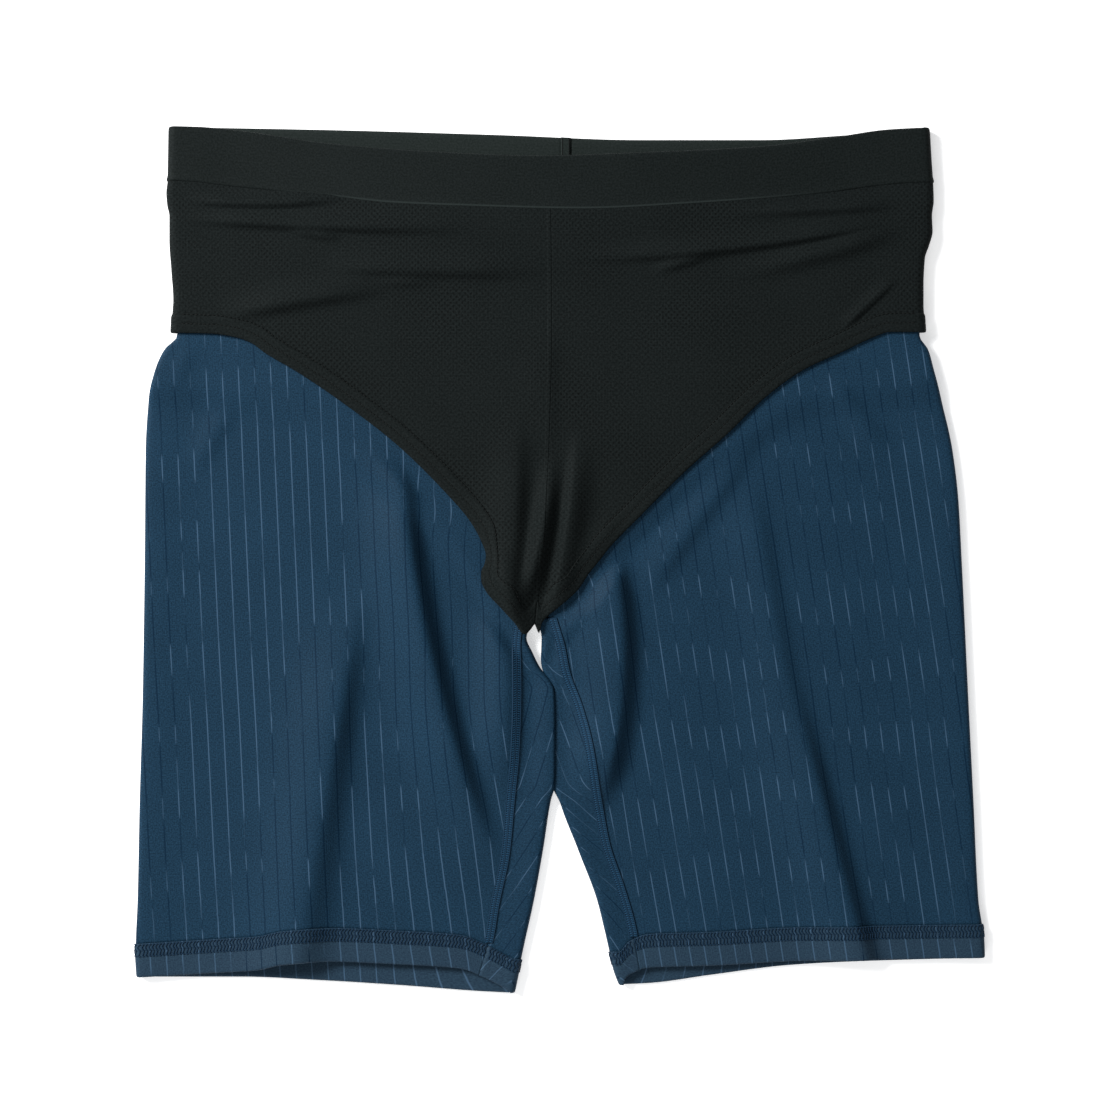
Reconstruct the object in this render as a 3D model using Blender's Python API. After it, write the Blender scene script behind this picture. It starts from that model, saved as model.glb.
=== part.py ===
"""Half tights laid flat, inside out: two striped legs, and the black brief worn inside
them lying on top, with its waistband.

Frame: +X to the garment's right as it is seen from above, +Y to the waist, +Z up from the
surface it lies on. The origin is the middle of its outline, on that surface. Sizes are
in millimetres until a mesh is made, which is in metres.
"""

import bpy
import numpy as np
from mathutils import Matrix

MM = 0.001

# Walls, as thick as the cloth is where it is single, doubled or holds elastic
LEG_WALL = 1.2
HEM_WALL = 2.0
BRIEF_WALL = 1.0
EDGE_WALL = 1.4
BAND_WALL = 2.4
SEAM_WALL = 0.6

# Clearances between pieces that touch on the real garment
SEAM_GAP = 0.3
STRIP_GAP = 0.5
LAYER_GAP = 0.6

# Heights above the surface, to the top face of the upper layer
LEG_BACK_LIFT = 2.2
LEG_MIDDLE = 3.8
LEG_SIDE = 5.2
HIP_SIDE = 4.2
WAIST_GAPE = 5.0
HEM_GAPE = 4.4

# Depths of the sewn edges, and the width of the flat seams
LEG_HEM = 17.5
BRIEF_EDGE = 7.8
FLAT_SEAM = 5.2
SIDE_SEAM_INSET = 12.0

# The legs' folds die away towards the brief: within this reach of its edge they are gone
EDGE_REACH = 8.0
EDGE_FADE = 16.0

CROTCH_Y = -30.0
CROTCH_ROW = 0.955
SIDE_HEM_ROWS = (0.62, 0.65)
CENTRE_BACK_X = 3.0

# Rows and columns of the cloth's grids
ROWS_BELOW_CROTCH = 13
ROWS_BESIDE_BRIEF = 8
ROWS_UNDER_BRIEF = 3
COLUMNS_BETWEEN_FOLDS = 7
ARC_STEPS = 5
BACK_COLUMNS = 8
BRIEF_COLUMNS = 19
BRIEF_ROWS = 13
BRIEF_BACK_COLUMNS = 26
BRIEF_BACK_ROWS = 4
BAND_COLUMNS = 22
BAND_ROWS = 3

# Outline of the hips and waistband at each side: y, x
HIP_LEFT = [
    (225.7, -203.8), (197.0, -204.3), (191.0, -204.9), (184.6, -204.4), (179.0, -203.3),
    (166.4, -203.3), (150.8, -202.3), (135.2, -201.3), (124.8, -202.0), (116.0, -202.4),
]
HIP_RIGHT = [
    (225.7, 192.4), (208.0, 193.4), (196.0, 194.2), (187.0, 194.5), (179.0, 193.6),
    (171.0, 193.9), (163.8, 192.1), (157.0, 189.9), (143.0, 189.2), (132.6, 189.2),
    (124.8, 189.7), (116.0, 190.3),
]

# Outer fold of each leg below the brief's side hem: y, x
LEG_LEFT_OUTER = [
    (109.2, -205.9), (98.8, -210.6), (83.2, -214.2), (57.2, -215.8), (0.0, -216.3),
    (-72.8, -217.4), (-124.8, -218.9), (-176.8, -220.0), (-202.8, -221.0), (-218.0, -220.2),
]
LEG_RIGHT_OUTER = [
    (109.2, 191.6), (98.8, 194.5), (83.2, 198.6), (57.2, 204.4), (31.2, 207.5),
    (0.0, 209.2), (-72.8, 212.7), (-124.8, 215.3), (-176.8, 217.9), (-195.0, 220.4),
    (-208.0, 221.0),
]

# Inner fold of each leg below the crotch: y, x
LEG_LEFT_INNER = [
    (-30.0, -13.0), (-40.6, -17.4), (-46.8, -15.6), (-57.0, -10.6), (-67.6, -2.9),
    (-82.7, -2.4), (-117.0, -2.6), (-124.8, -4.7), (-150.8, -8.8), (-176.8, -13.5),
    (-202.8, -19.2), (-226.0, -24.0),
]
LEG_RIGHT_INNER = [
    (-30.0, -12.3), (-40.6, -9.6), (-52.0, -10.0), (-57.0, -9.2), (-67.6, -2.0),
    (-82.7, -1.6), (-117.0, -1.8), (-124.8, -0.3), (-150.8, 9.4), (-176.8, 19.2),
    (-192.4, 23.1), (-213.2, 28.1), (-222.0, 31.4),
]

# Inseam, where the two edges of a leg's cloth meet on the upper layer: y, x
INSEAM_LEFT = [
    (-30.0, -21.0), (-44.0, -22.6), (-68.0, -22.4), (-100.0, -23.4), (-123.0, -25.5),
    (-152.0, -28.2), (-180.0, -33.9), (-197.5, -36.8), (-222.0, -43.6),
]
INSEAM_RIGHT = [
    (-30.0, -4.0), (-44.0, 0.2), (-57.5, 2.9), (-76.0, 9.8), (-94.6, 14.8),
    (-128.0, 20.1), (-148.0, 23.9), (-168.0, 30.7), (-189.0, 36.9), (-222.0, 43.0),
]

# Centre seam of the brief and of the legs under it: y, x
CENTRE_SEAM = [(225.0, -5.6), (120.0, -4.7), (62.0, -6.0), (20.0, -8.0), (-34.0, -13.2)]

# Lower edge of each leg's upper and lower layer: x, y
HEM_LEFT_FRONT = [
    (-220.5, -217.2), (-187.0, -215.3), (-158.0, -213.2), (-143.0, -209.9), (-125.0, -208.8),
    (-85.0, -210.3), (-52.0, -212.6), (-38.7, -217.6), (-24.0, -225.2),
]
HEM_LEFT_BACK = [
    (-220.5, -217.2), (-166.0, -217.2), (-125.0, -219.0), (-83.0, -221.6), (-42.0, -224.7),
    (-24.0, -225.6),
]
HEM_RIGHT_FRONT = [
    (31.4, -221.2), (36.0, -215.8), (46.8, -212.0), (78.0, -211.0), (125.0, -208.5),
    (192.0, -207.5), (221.0, -207.0),
]
HEM_RIGHT_BACK = [
    (31.4, -221.2), (46.8, -220.5), (78.0, -216.3), (119.6, -211.1), (152.0, -209.3),
    (221.0, -207.2),
]

# Seam of the waistband and its upper edge: x, y
WAIST_SEAM_FRONT = [
    (-205.0, 196.9), (-196.0, 196.7), (-170.0, 193.8), (-120.0, 188.8), (-88.0, 185.1), (-52.0, 183.4),
    (10.0, 181.8), (73.0, 185.0), (143.0, 191.2), (164.0, 194.2), (186.0, 195.9), (195.0, 196.0),
]
BAND_TOP_FRONT = [
    (-205.0, 225.5), (-187.0, 225.0), (-162.0, 222.4), (-121.0, 216.3), (-66.0, 211.7),
    (-10.0, 209.5), (45.0, 211.4), (101.0, 214.4), (143.0, 219.7), (170.0, 223.6),
    (193.0, 224.8),
]
BAND_TOP_BACK = [
    (-205.0, 225.7), (-119.0, 224.1), (-31.0, 221.5), (42.0, 218.9), (104.0, 218.9),
    (151.0, 221.5), (193.0, 224.8),
]
BAND_DEPTH = 28.8

# Lower edge of the brief's front, from the side seam to the tip at the crotch: x, y
BRIEF_EDGE_LEFT = [
    (-198.6, 117.4), (-169.0, 113.9), (-158.0, 109.2), (-109.0, 75.4), (-57.0, 32.2),
    (-46.0, 16.5), (-41.0, 2.0), (-37.5, -9.0), (-32.0, -20.0), (-25.5, -30.0),
    (-18.5, -37.5), (-13.2, -34.4),
]
BRIEF_EDGE_RIGHT = [
    (186.9, 116.0), (168.0, 115.6), (124.8, 98.8), (98.8, 79.0), (46.8, 29.6),
    (22.5, 3.5), (12.0, -11.0), (1.5, -22.0), (-7.0, -31.0), (-12.9, -34.4),
]
# The same edge and the plainer one of the brief's back, as a height over x or over the
# distance from the centre seam
FRONT_EDGE = [
    (-205.0, 117.0), (-169.0, 114.0), (-109.0, 75.4), (-57.0, 32.2), (-40.0, -4.0),
    (-14.0, -34.0), (8.0, -17.0), (20.0, 0.0), (73.0, 54.6), (125.0, 98.8), (195.0, 116.0),
]
BACK_EDGE = [
    (0.0, -18.0), (16.0, -6.0), (45.0, 38.0), (97.0, 82.0), (149.0, 112.0), (205.0, 118.0),
]

# Where columns of each leg's grid run along its long folds: y, x nearer the inseam, x outer
GUIDES_LEFT = [
    (190.0, -82.0, -140.0), (62.0, -86.0, -138.0), (-20.0, -76.0, -106.0),
    (-90.0, -62.0, -116.0), (-161.0, -48.0, -133.0), (-226.0, -68.0, -144.0),
]
GUIDES_RIGHT = [
    (190.0, 42.0, 120.0), (62.0, 40.0, 104.0), (8.0, 27.0, 102.0), (-64.0, 30.0, 116.0),
    (-136.0, 34.0, 140.0), (-226.0, 66.0, 167.0),
]

# Each fold is a ridge along an arc from its start to its end. Its crest bows out to the
# left of that way by bow, stands up by height, and falls off over the two widths: gentle
# on the right of the way and steep on the left, which spreads from steep to steep_end.
# rise and die are the shares of its length over which it comes up and dies away.
FOLD_COLUMNS = (
    "x0", "y0", "x1", "y1", "bow", "height", "gentle", "steep", "steep_end", "rise", "die",
)
LEG_FOLDS_LEFT = [
    (-104.0, -8.0, -143.0, -240.0, -3.0, 6.0, 22.0, 5.5, 14.0, 0.35, 0.02),
    (-86.0, 66.0, -38.0, -168.0, -9.0, 7.0, 16.0, 5.5, 6.0, 0.25, 0.35),
    (-28.0, -4.0, -33.0, -112.0, 0.0, 2.6, 12.0, 8.0, 8.0, 0.3, 0.4),
    (-168.0, 86.0, -193.0, 42.0, 0.0, 1.2, 8.0, 5.0, 5.0, 0.4, 0.4),
    (-192.0, 122.0, -203.0, 84.0, 0.0, 1.4, 5.0, 5.0, 5.0, 0.3, 0.5),
]
LEG_FOLDS_RIGHT = [
    (21.0, 12.0, 14.0, -128.0, 13.0, 7.5, 11.0, 5.5, 6.0, 0.3, 0.45),
    (96.0, 50.0, 122.0, -96.0, 0.5, 2.4, 14.0, 6.0, 6.0, 0.3, 0.4),
    (112.0, -40.0, 166.0, -240.0, 0.0, 5.6, 20.0, 5.5, 6.5, 0.4, 0.02),
    (104.0, 66.0, 40.0, -22.0, 0.0, 2.0, 10.0, 5.0, 5.0, 0.3, 0.3),
    (138.0, 98.0, 174.0, 50.0, 0.0, 1.2, 8.0, 4.5, 4.5, 0.3, 0.4),
    (-3.0, -26.0, 2.0, -92.0, 0.0, 2.6, 8.0, 6.0, 6.0, 0.4, 0.4),
]
BRIEF_FOLDS = [
    (-109.0, 189.0, -197.0, 188.0, 3.0, 1.8, 5.0, 3.5, 3.5, 0.4, 0.3),
    (-31.0, 172.0, -200.0, 177.0, 1.0, 1.7, 8.0, 4.0, 4.0, 0.5, 0.3),
    (-8.0, 151.0, -109.0, 152.0, 0.0, 1.6, 9.0, 5.0, 5.0, 0.5, 0.5),
    (-88.0, 143.0, -178.0, 127.0, -1.0, 2.0, 9.0, 5.0, 5.0, 0.4, 0.4),
    (172.0, 173.0, 0.0, 157.0, 4.5, 1.8, 9.0, 4.0, 4.0, 0.3, 0.4),
    (178.0, 171.0, 82.0, 148.0, 2.0, 2.0, 6.0, 8.0, 8.0, 0.3, 0.5),
    (180.0, 186.0, 78.0, 181.0, 0.0, 1.6, 4.5, 6.0, 6.0, 0.3, 0.5),
    (173.0, 143.5, 146.0, 120.0, 0.0, 1.2, 6.0, 3.0, 3.0, 0.3, 0.3),
    (-5.7, 126.0, -7.5, 58.0, 0.0, 1.4, 11.0, 4.0, 4.0, 0.4, 0.3),
    (-16.0, 84.0, -30.0, -20.0, 0.0, 3.4, 13.0, 5.5, 5.5, 0.5, 0.3),
    (-9.5, 46.0, -19.5, -28.0, 0.0, 2.2, 4.5, 4.0, 4.0, 0.5, 0.4),
    (-1.0, 70.0, -2.0, -24.0, 4.5, 3.6, 5.5, 5.5, 5.5, 0.5, 0.4),
]


def curve(table, at):
    """A smooth curve through a table of (position, value), which never leaves the range
    of the two values it is between."""
    known, values = np.array(sorted(table), float).T
    at = np.clip(np.asarray(at, float), known[0], known[-1])
    secants = np.diff(values) / np.diff(known)
    before, after = secants[:-1], secants[1:]
    same_way = before * after > 0
    slopes = secants[[0, *range(len(secants) - 1), -1]]
    slopes[1:-1] = 0.0
    slopes[1:-1][same_way] = (2 * before * after)[same_way] / (before + after)[same_way]
    i = np.clip(np.searchsorted(known, at, side="right") - 1, 0, len(known) - 2)
    step = known[i + 1] - known[i]
    t = (at - known[i]) / step
    return (
        values[i] * (1 + 2 * t) * (1 - t) ** 2
        + values[i + 1] * t**2 * (3 - 2 * t)
        + step * slopes[i] * t * (1 - t) ** 2
        - step * slopes[i + 1] * t**2 * (1 - t)
    )


def ramp(t):
    """0 below 0, 1 above 1, and a smooth step between."""
    t = np.clip(t, 0.0, 1.0)
    return t * t * (3 - 2 * t)


def fold_height(folds, x, y):
    """The height that a table of folds adds at each point: an arc-shaped ridge for each
    row, a bell across it with a different width on each side."""
    total = np.zeros(np.broadcast(x, y).shape)
    for row in folds:
        f = dict(zip(FOLD_COLUMNS, row))
        length = np.hypot(f["x1"] - f["x0"], f["y1"] - f["y0"])
        ex, ey = (f["x1"] - f["x0"]) / length, (f["y1"] - f["y0"]) / length
        along = ((x - f["x0"]) * ex + (y - f["y0"]) * ey) / length
        t = np.clip(along, 0.0, 1.0)
        left = ex * (y - f["y0"]) - ey * (x - f["x0"]) - f["bow"] * 4 * t * (1 - t)
        steep = f["steep"] + (f["steep_end"] - f["steep"]) * t
        width = np.where(left > 0, steep, f["gentle"])
        fade = ramp(along / f["rise"]) * ramp((1 - along) / f["die"])
        total = total + f["height"] * fade * np.exp(-((left / width) ** 2))
    return total


def near_brief(x, y, reach, width):
    """1 under the brief's front and within reach of its edge, and 0 beyond that by more
    than width."""
    shares = np.linspace(0.0, 1.0, 60)
    edges = [along_edge(table, shares) for table in (BRIEF_EDGE_LEFT, BRIEF_EDGE_RIGHT)]
    edge = np.concatenate(edges)
    x, y = np.broadcast_arrays(np.asarray(x, float), np.asarray(y, float))
    distance = np.hypot(x[..., None] - edge[:, 0], y[..., None] - edge[:, 1]).min(-1)
    distance = np.where(y > curve(FRONT_EDGE, x), 0.0, distance)
    return ramp((reach + width - distance) / width)


def centre_x(y):
    return curve(CENTRE_SEAM, y)


def back_edge(x):
    """Lower edge of the brief's back."""
    return curve(BACK_EDGE, np.abs(x + 12.0))


def lift(x, y):
    """How far the legs' lower layer stands above the surface, where the brief's back lies
    under it."""
    return LEG_BACK_LIFT * ramp((y - back_edge(x) + 40.0) / 16.0)


class Side:
    """The tables of one half of the garment. sign is -1 on the left and 1 on the right."""

    def __init__(self, sign):
        left = sign < 0
        self.sign = sign
        self.name = "left" if left else "right"
        self.hip = HIP_LEFT if left else HIP_RIGHT
        narrowest = min(abs(x) for y, x in self.hip)
        hip_x = sign * (narrowest - BRIEF_WALL - LAYER_GAP - 0.4)
        under_brief = [(225.0, hip_x), (116.5, hip_x)]
        self.outer = under_brief + (LEG_LEFT_OUTER if left else LEG_RIGHT_OUTER)
        self.inner = LEG_LEFT_INNER if left else LEG_RIGHT_INNER
        self.inseam = INSEAM_LEFT if left else INSEAM_RIGHT
        self.hem_front = HEM_LEFT_FRONT if left else HEM_RIGHT_FRONT
        self.hem_back = HEM_LEFT_BACK if left else HEM_RIGHT_BACK
        self.folds = LEG_FOLDS_LEFT if left else LEG_FOLDS_RIGHT
        self.guides = GUIDES_LEFT if left else GUIDES_RIGHT
        self.brief_edge = BRIEF_EDGE_LEFT if left else BRIEF_EDGE_RIGHT
        self.gape_x = -92.0 if left else 82.0
        self.inner_side = 6.4 if left else 4.6
        self.tip_bow = 3.5 if left else 0.0

    def side_height(self, y):
        """Thickness of the leg at its outer fold."""
        return LEG_SIDE - (LEG_SIDE - HIP_SIDE) * ramp((y - 95.0) / 25.0)

    def inner_height(self, y):
        """Thickness of the leg at its inner fold, which starts below the crotch: the left
        one rides a little higher where the two legs touch."""
        touching = ramp((-50.0 - y) / 15.0) * ramp((y + 140.0) / 30.0)
        side = LEG_SIDE + (self.inner_side - LEG_SIDE) * touching
        return LEG_MIDDLE + (side - LEG_MIDDLE) * ramp((-34.0 - y) / 14.0)

    def fold_x(self, table, y, height, wall, inward, proud=0.0):
        """x of the centre of a side fold's arc, and the arc's radius at mid wall."""
        radius = (height - wall) / 2
        edge = curve(table, y) - inward * proud
        return edge + inward * (wall / 2 + radius), radius

    def top(self, x, y):
        """Height of the leg's upper face: flat cloth, thicker at the side folds, with the
        gapes at waist and hem and the folds."""
        outer_x, _ = self.fold_x(self.outer, y, self.side_height(y), LEG_WALL, -self.sign)
        inner_x, _ = self.fold_x(self.inner, y, self.inner_height(y), LEG_WALL, self.sign)
        near_outer = np.exp(-(((x - outer_x) / 16.0) ** 2))
        near_inner = np.exp(-(((x - inner_x) / 9.0) ** 2)) * (y < CROTCH_Y)
        waist = WAIST_GAPE * np.clip(1 - ((x + 5.0) / 175.0) ** 2, 0, 1) ** 2
        waist = waist * ramp((y - 130.0) / 55.0)
        hem = HEM_GAPE * np.exp(-(((x - self.gape_x) / 60.0) ** 2)) * ramp((-120.0 - y) / 60.0)
        under_brief = near_brief(x, y, EDGE_REACH, EDGE_FADE)
        folds = fold_height(self.folds, x, y) * (1 - under_brief) + hem
        return (
            lift(x, y)
            + LEG_MIDDLE
            + (self.side_height(y) - LEG_MIDDLE) * near_outer
            + (self.inner_height(y) - LEG_MIDDLE) * near_inner
            + waist
            + folds * (1 - near_outer) * (1 - near_inner)
        )

    def brief_top(self, x, y, wall=BRIEF_WALL):
        """Height of the brief's upper face, which lies on the leg and has its own folds."""
        return self.top(x, y) + LAYER_GAP + wall + fold_height(BRIEF_FOLDS, x, y)


def clustered(start, stop, steps):
    """Steps from start to stop that are closer at both ends."""
    t = np.linspace(0.0, 1.0, steps + 1)
    t = t - 0.11 * np.sin(2 * np.pi * t)
    return start + (stop - start) * t


def arc(x_centre, top, bottom, radius_x, outward, steps, y):
    """Points round a side fold, from its top to its bottom at mid wall, without ends."""
    angle = np.linspace(0.0, np.pi, steps + 1)[1:-1]
    middle, half = (top + bottom) / 2, (top - bottom) / 2
    x = x_centre + outward * radius_x * np.sin(angle)
    return np.stack([x, np.full_like(x, y), middle + half * np.cos(angle)], 1)


def leg_row(side, line_front, line_back, row_y, wall, proud, closed):
    """One ring of a leg at mid wall, from the inseam out over the upper layer, round the
    outer fold, back along the lower layer, and below the crotch round the inner fold to
    the inseam again. line_front and line_back give y over x."""
    inward = -side.sign
    y_outer = float(line_front(curve(side.outer, row_y)))
    outer_height = float(side.side_height(y_outer)) + proud
    x_outer, r_outer = side.fold_x(side.outer, y_outer, outer_height, wall, inward, proud / 2)
    if closed:
        y_inner = float(line_front(curve(side.inner, row_y)))
        inner_height = float(side.inner_height(y_inner)) + proud
        x_inner, r_inner = side.fold_x(
            side.inner, y_inner, inner_height, wall, -inward, proud / 2
        )
        x_seam = float(curve(side.inseam, line_front(curve(side.inseam, row_y))))
        x_back_end = x_inner
    else:
        x_seam = float(centre_x(row_y)) + side.sign * SEAM_GAP / 2
        x_back_end = x_seam
    y_guide, near, far = np.array(sorted(side.guides), float).T
    keys = [
        x_seam + side.sign * FLAT_SEAM / 2,
        np.interp(row_y, y_guide, near),
        np.interp(row_y, y_guide, far),
        x_outer,
    ]
    front_x = [x_seam]
    for a, b in zip(keys, keys[1:]):
        front_x.extend(clustered(a, b, COLUMNS_BETWEEN_FOLDS)[:-1])
    front_x = np.array(front_x + [x_outer])
    front_y = line_front(front_x)
    front_z = side.top(front_x, front_y) + proud - wall / 2
    front = np.stack([front_x, front_y, front_z], 1)
    floor_outer = float(lift(x_outer, y_outer))
    front[-1, 2] = floor_outer + outer_height - wall / 2
    outer = arc(
        x_outer, front[-1, 2], floor_outer + wall / 2, r_outer, side.sign, ARC_STEPS, y_outer
    )
    back_x = np.linspace(x_outer, x_back_end, BACK_COLUMNS + 1)
    back_y = line_back(back_x)
    back = np.stack([back_x, back_y, lift(back_x, back_y) + wall / 2], 1)
    inner_count = ARC_STEPS + 2
    if not closed:
        return np.concatenate([front, outer, back, np.full((inner_count, 3), np.nan)])
    floor_inner = float(lift(x_inner, y_inner))
    top_inner = floor_inner + inner_height - wall / 2
    inner = arc(
        x_inner, top_inner, floor_inner + wall / 2, r_inner, -side.sign, ARC_STEPS, y_inner
    )[::-1]
    strip_x = np.array([x_inner, x_seam - side.sign * FLAT_SEAM / 2, 0.0])
    strip_x[2] = x_seam - side.sign * SEAM_GAP
    strip_y = line_front(strip_x)
    strip_z = side.top(strip_x, strip_y) + proud - wall / 2
    strip_z[0] = top_inner
    strip = np.stack([strip_x, strip_y, strip_z], 1)
    return np.concatenate([front, outer, back, inner, strip])


def leg_rows(side):
    """The rings of a leg, from just above its hem to the waist seam."""
    rows = []
    below = np.append(np.linspace(0.0, CROTCH_ROW, ROWS_BELOW_CROTCH), 1.0)
    beside = np.linspace(0.0, SIDE_HEM_ROWS[0], ROWS_BESIDE_BRIEF + 1)[1:]
    under = np.linspace(SIDE_HEM_ROWS[1], 1.0, ROWS_UNDER_BRIEF + 1)
    for t in below:

        def line(table, x, t=t):
            return (curve(table, x) + LEG_HEM + SEAM_GAP) * (1 - t) + CROTCH_Y * t

        middle_y = float(line(side.hem_front, side.gape_x))
        rows.append(
            leg_row(
                side,
                lambda x, f=line: f(side.hem_front, x),
                lambda x, f=line: f(side.hem_back, x),
                middle_y,
                LEG_WALL,
                0.0,
                True,
            )
        )
    for t in np.concatenate([beside, under]):

        def front_line(x, t=t):
            return CROTCH_Y * (1 - t) + (curve(WAIST_SEAM_FRONT, x) - 2 * SEAM_GAP) * t

        def back_line(x, t=t):
            waist = curve(BAND_TOP_BACK, x) - BAND_DEPTH - 2 * SEAM_GAP
            return CROTCH_Y * (1 - t) + waist * t

        middle_y = float(front_line(side.sign * 100.0))
        rows.append(leg_row(side, front_line, back_line, middle_y, LEG_WALL, 0.0, False))
    return np.array(rows)


def hem_rows(side):
    """The rings of a leg's turned-up hem, from its lower edge up."""
    rows = []
    for share in (0.0, 0.45, 1.0):
        rise = share * LEG_HEM

        def front_line(x, rise=rise):
            return curve(side.hem_front, x) + rise

        def back_line(x, rise=rise):
            return curve(side.hem_back, x) + rise

        middle_y = float(front_line(side.gape_x))
        proud = HEM_WALL - LEG_WALL
        rows.append(leg_row(side, front_line, back_line, middle_y, HEM_WALL, proud, True))
    return np.array(rows)


def along_edge(table, shares):
    """Points on a smooth curve through a table of (x, y), at shares of its length."""
    points = np.array(table, float)
    steps = np.hypot(*np.diff(points, axis=0).T)
    known = np.concatenate([[0.0], np.cumsum(steps)])
    at = np.asarray(shares) * known[-1]
    x = curve(list(zip(known, points[:, 0])), at)
    y = curve(list(zip(known, points[:, 1])), at)
    return np.stack([x, y], 1)


def inside_edge(side, shares, depth):
    """The edge of the brief moved into the cloth by depth: square to the edge, and
    straight up the seams at its two ends."""
    h = 1e-3
    ahead = along_edge(side.brief_edge, np.clip(shares + h, 0, 1))
    behind = along_edge(side.brief_edge, np.clip(shares - h, 0, 1))
    way = ahead - behind
    normal = np.stack([-way[:, 1], way[:, 0]], 1) * -side.sign
    normal /= np.linalg.norm(normal, axis=1)[:, None]
    at_end = np.maximum(ramp(1 - shares / 0.12), ramp((shares - 0.86) / 0.1))[:, None]
    normal = normal * (1 - at_end) + np.array([0.0, 1.0]) * at_end
    normal /= np.linalg.norm(normal, axis=1)[:, None]
    deeper = np.where(shares > 0.9, 1.3, 1.0)[:, None]
    return along_edge(side.brief_edge, shares) + normal * depth * deeper


def brief_grid(side, lines, wall, proud):
    """Mid-wall points of the brief's front over each line of (x, y) points, which run from
    the side fold to the centre seam, with the side fold and a strip under it."""
    rows = []
    for line in lines:
        x, y = line[:, 0].copy(), line[:, 1]
        floor = float(lift(x[0], y[0]))
        height = floor + float(side.side_height(y[0])) + LAYER_GAP + wall
        x_fold, radius = side.fold_x(side.hip, y[0], height, wall, -side.sign, proud)
        shift = (x_fold - x[0]) * (1 - np.linspace(0, 1, len(x))) ** 4
        x += shift
        x[-1] = centre_x(y[-1]) + side.sign * SEAM_GAP / 2
        x[-2] = centre_x(y[-2]) + side.sign * FLAT_SEAM / 2
        z = side.brief_top(x, y, wall) - wall / 2
        z[0] = height - wall / 2
        front = np.stack([x, y, z], 1)
        fold = arc(x_fold, z[0], wall / 2, radius, side.sign, ARC_STEPS, y[0])[::-1]
        edge_x = curve(side.hip, 150.0) - side.sign * SIDE_SEAM_INSET
        drop = curve(BAND_TOP_BACK, x_fold) - curve(BAND_TOP_BACK, edge_x)
        edge_y = y[0] - drop * ramp((y[0] - 170.0) / 25.0)
        under = np.array([[edge_x, edge_y, wall / 2], [x_fold, y[0], wall / 2]])
        rows.append(np.concatenate([under, fold, front]))
    return np.array(rows)


def brief_shares():
    """Shares of the brief's edge at which its columns end, with one beside the centre."""
    shares = np.linspace(0.0, 1.0, BRIEF_COLUMNS + 1)
    return np.concatenate([shares[:-1], [0.985], shares[-1:]])


def brief_lines(side):
    """Lines of (x, y) over the brief's front panel, from the waist seam to its edge.
    Columns close to the tip bow towards the centre, clear of the upright part of the edge."""
    shares = brief_shares()
    low = inside_edge(side, shares, BRIEF_EDGE + SEAM_GAP)
    side_x = side.brief_edge[0][0]
    top_x = side_x + (centre_x(185.0) - side_x) * shares
    top = np.stack([top_x, curve(WAIST_SEAM_FRONT, top_x) - SEAM_GAP], 1)
    up = np.linspace(1.0, 0.0, BRIEF_ROWS + 1)[:, None]
    lines = top * up[..., None] + low * (1 - up[..., None])
    bow = side.tip_bow * ramp((shares - 0.7) / 0.12) * ramp((1 - shares) / 0.06)
    lines[:, :, 0] -= side.sign * bow * up / 0.15 * np.exp(1 - up / 0.15)
    return lines


def edge_lines(side):
    """Lines over the brief's turned edge."""
    shares = brief_shares()
    return np.array([inside_edge(side, shares, BRIEF_EDGE), inside_edge(side, shares, 0.0)])


def brief_back_rows():
    """The plain back of the brief, flat on the surface."""
    left = curve(HIP_LEFT, 150.0) + SIDE_SEAM_INSET + SEAM_GAP
    right = curve(HIP_RIGHT, 150.0) - SIDE_SEAM_INSET - SEAM_GAP
    x = np.linspace(left, right, BRIEF_BACK_COLUMNS + 1)
    low, high = back_edge(x), curve(BAND_TOP_BACK, x) - BAND_DEPTH - SEAM_GAP
    rows = []
    for j in range(BRIEF_BACK_ROWS + 1):
        y = low + (high - low) * j / BRIEF_BACK_ROWS
        rows.append(np.stack([x, y, np.full_like(x, BRIEF_WALL / 2)], 1))
    return np.array(rows)


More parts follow.
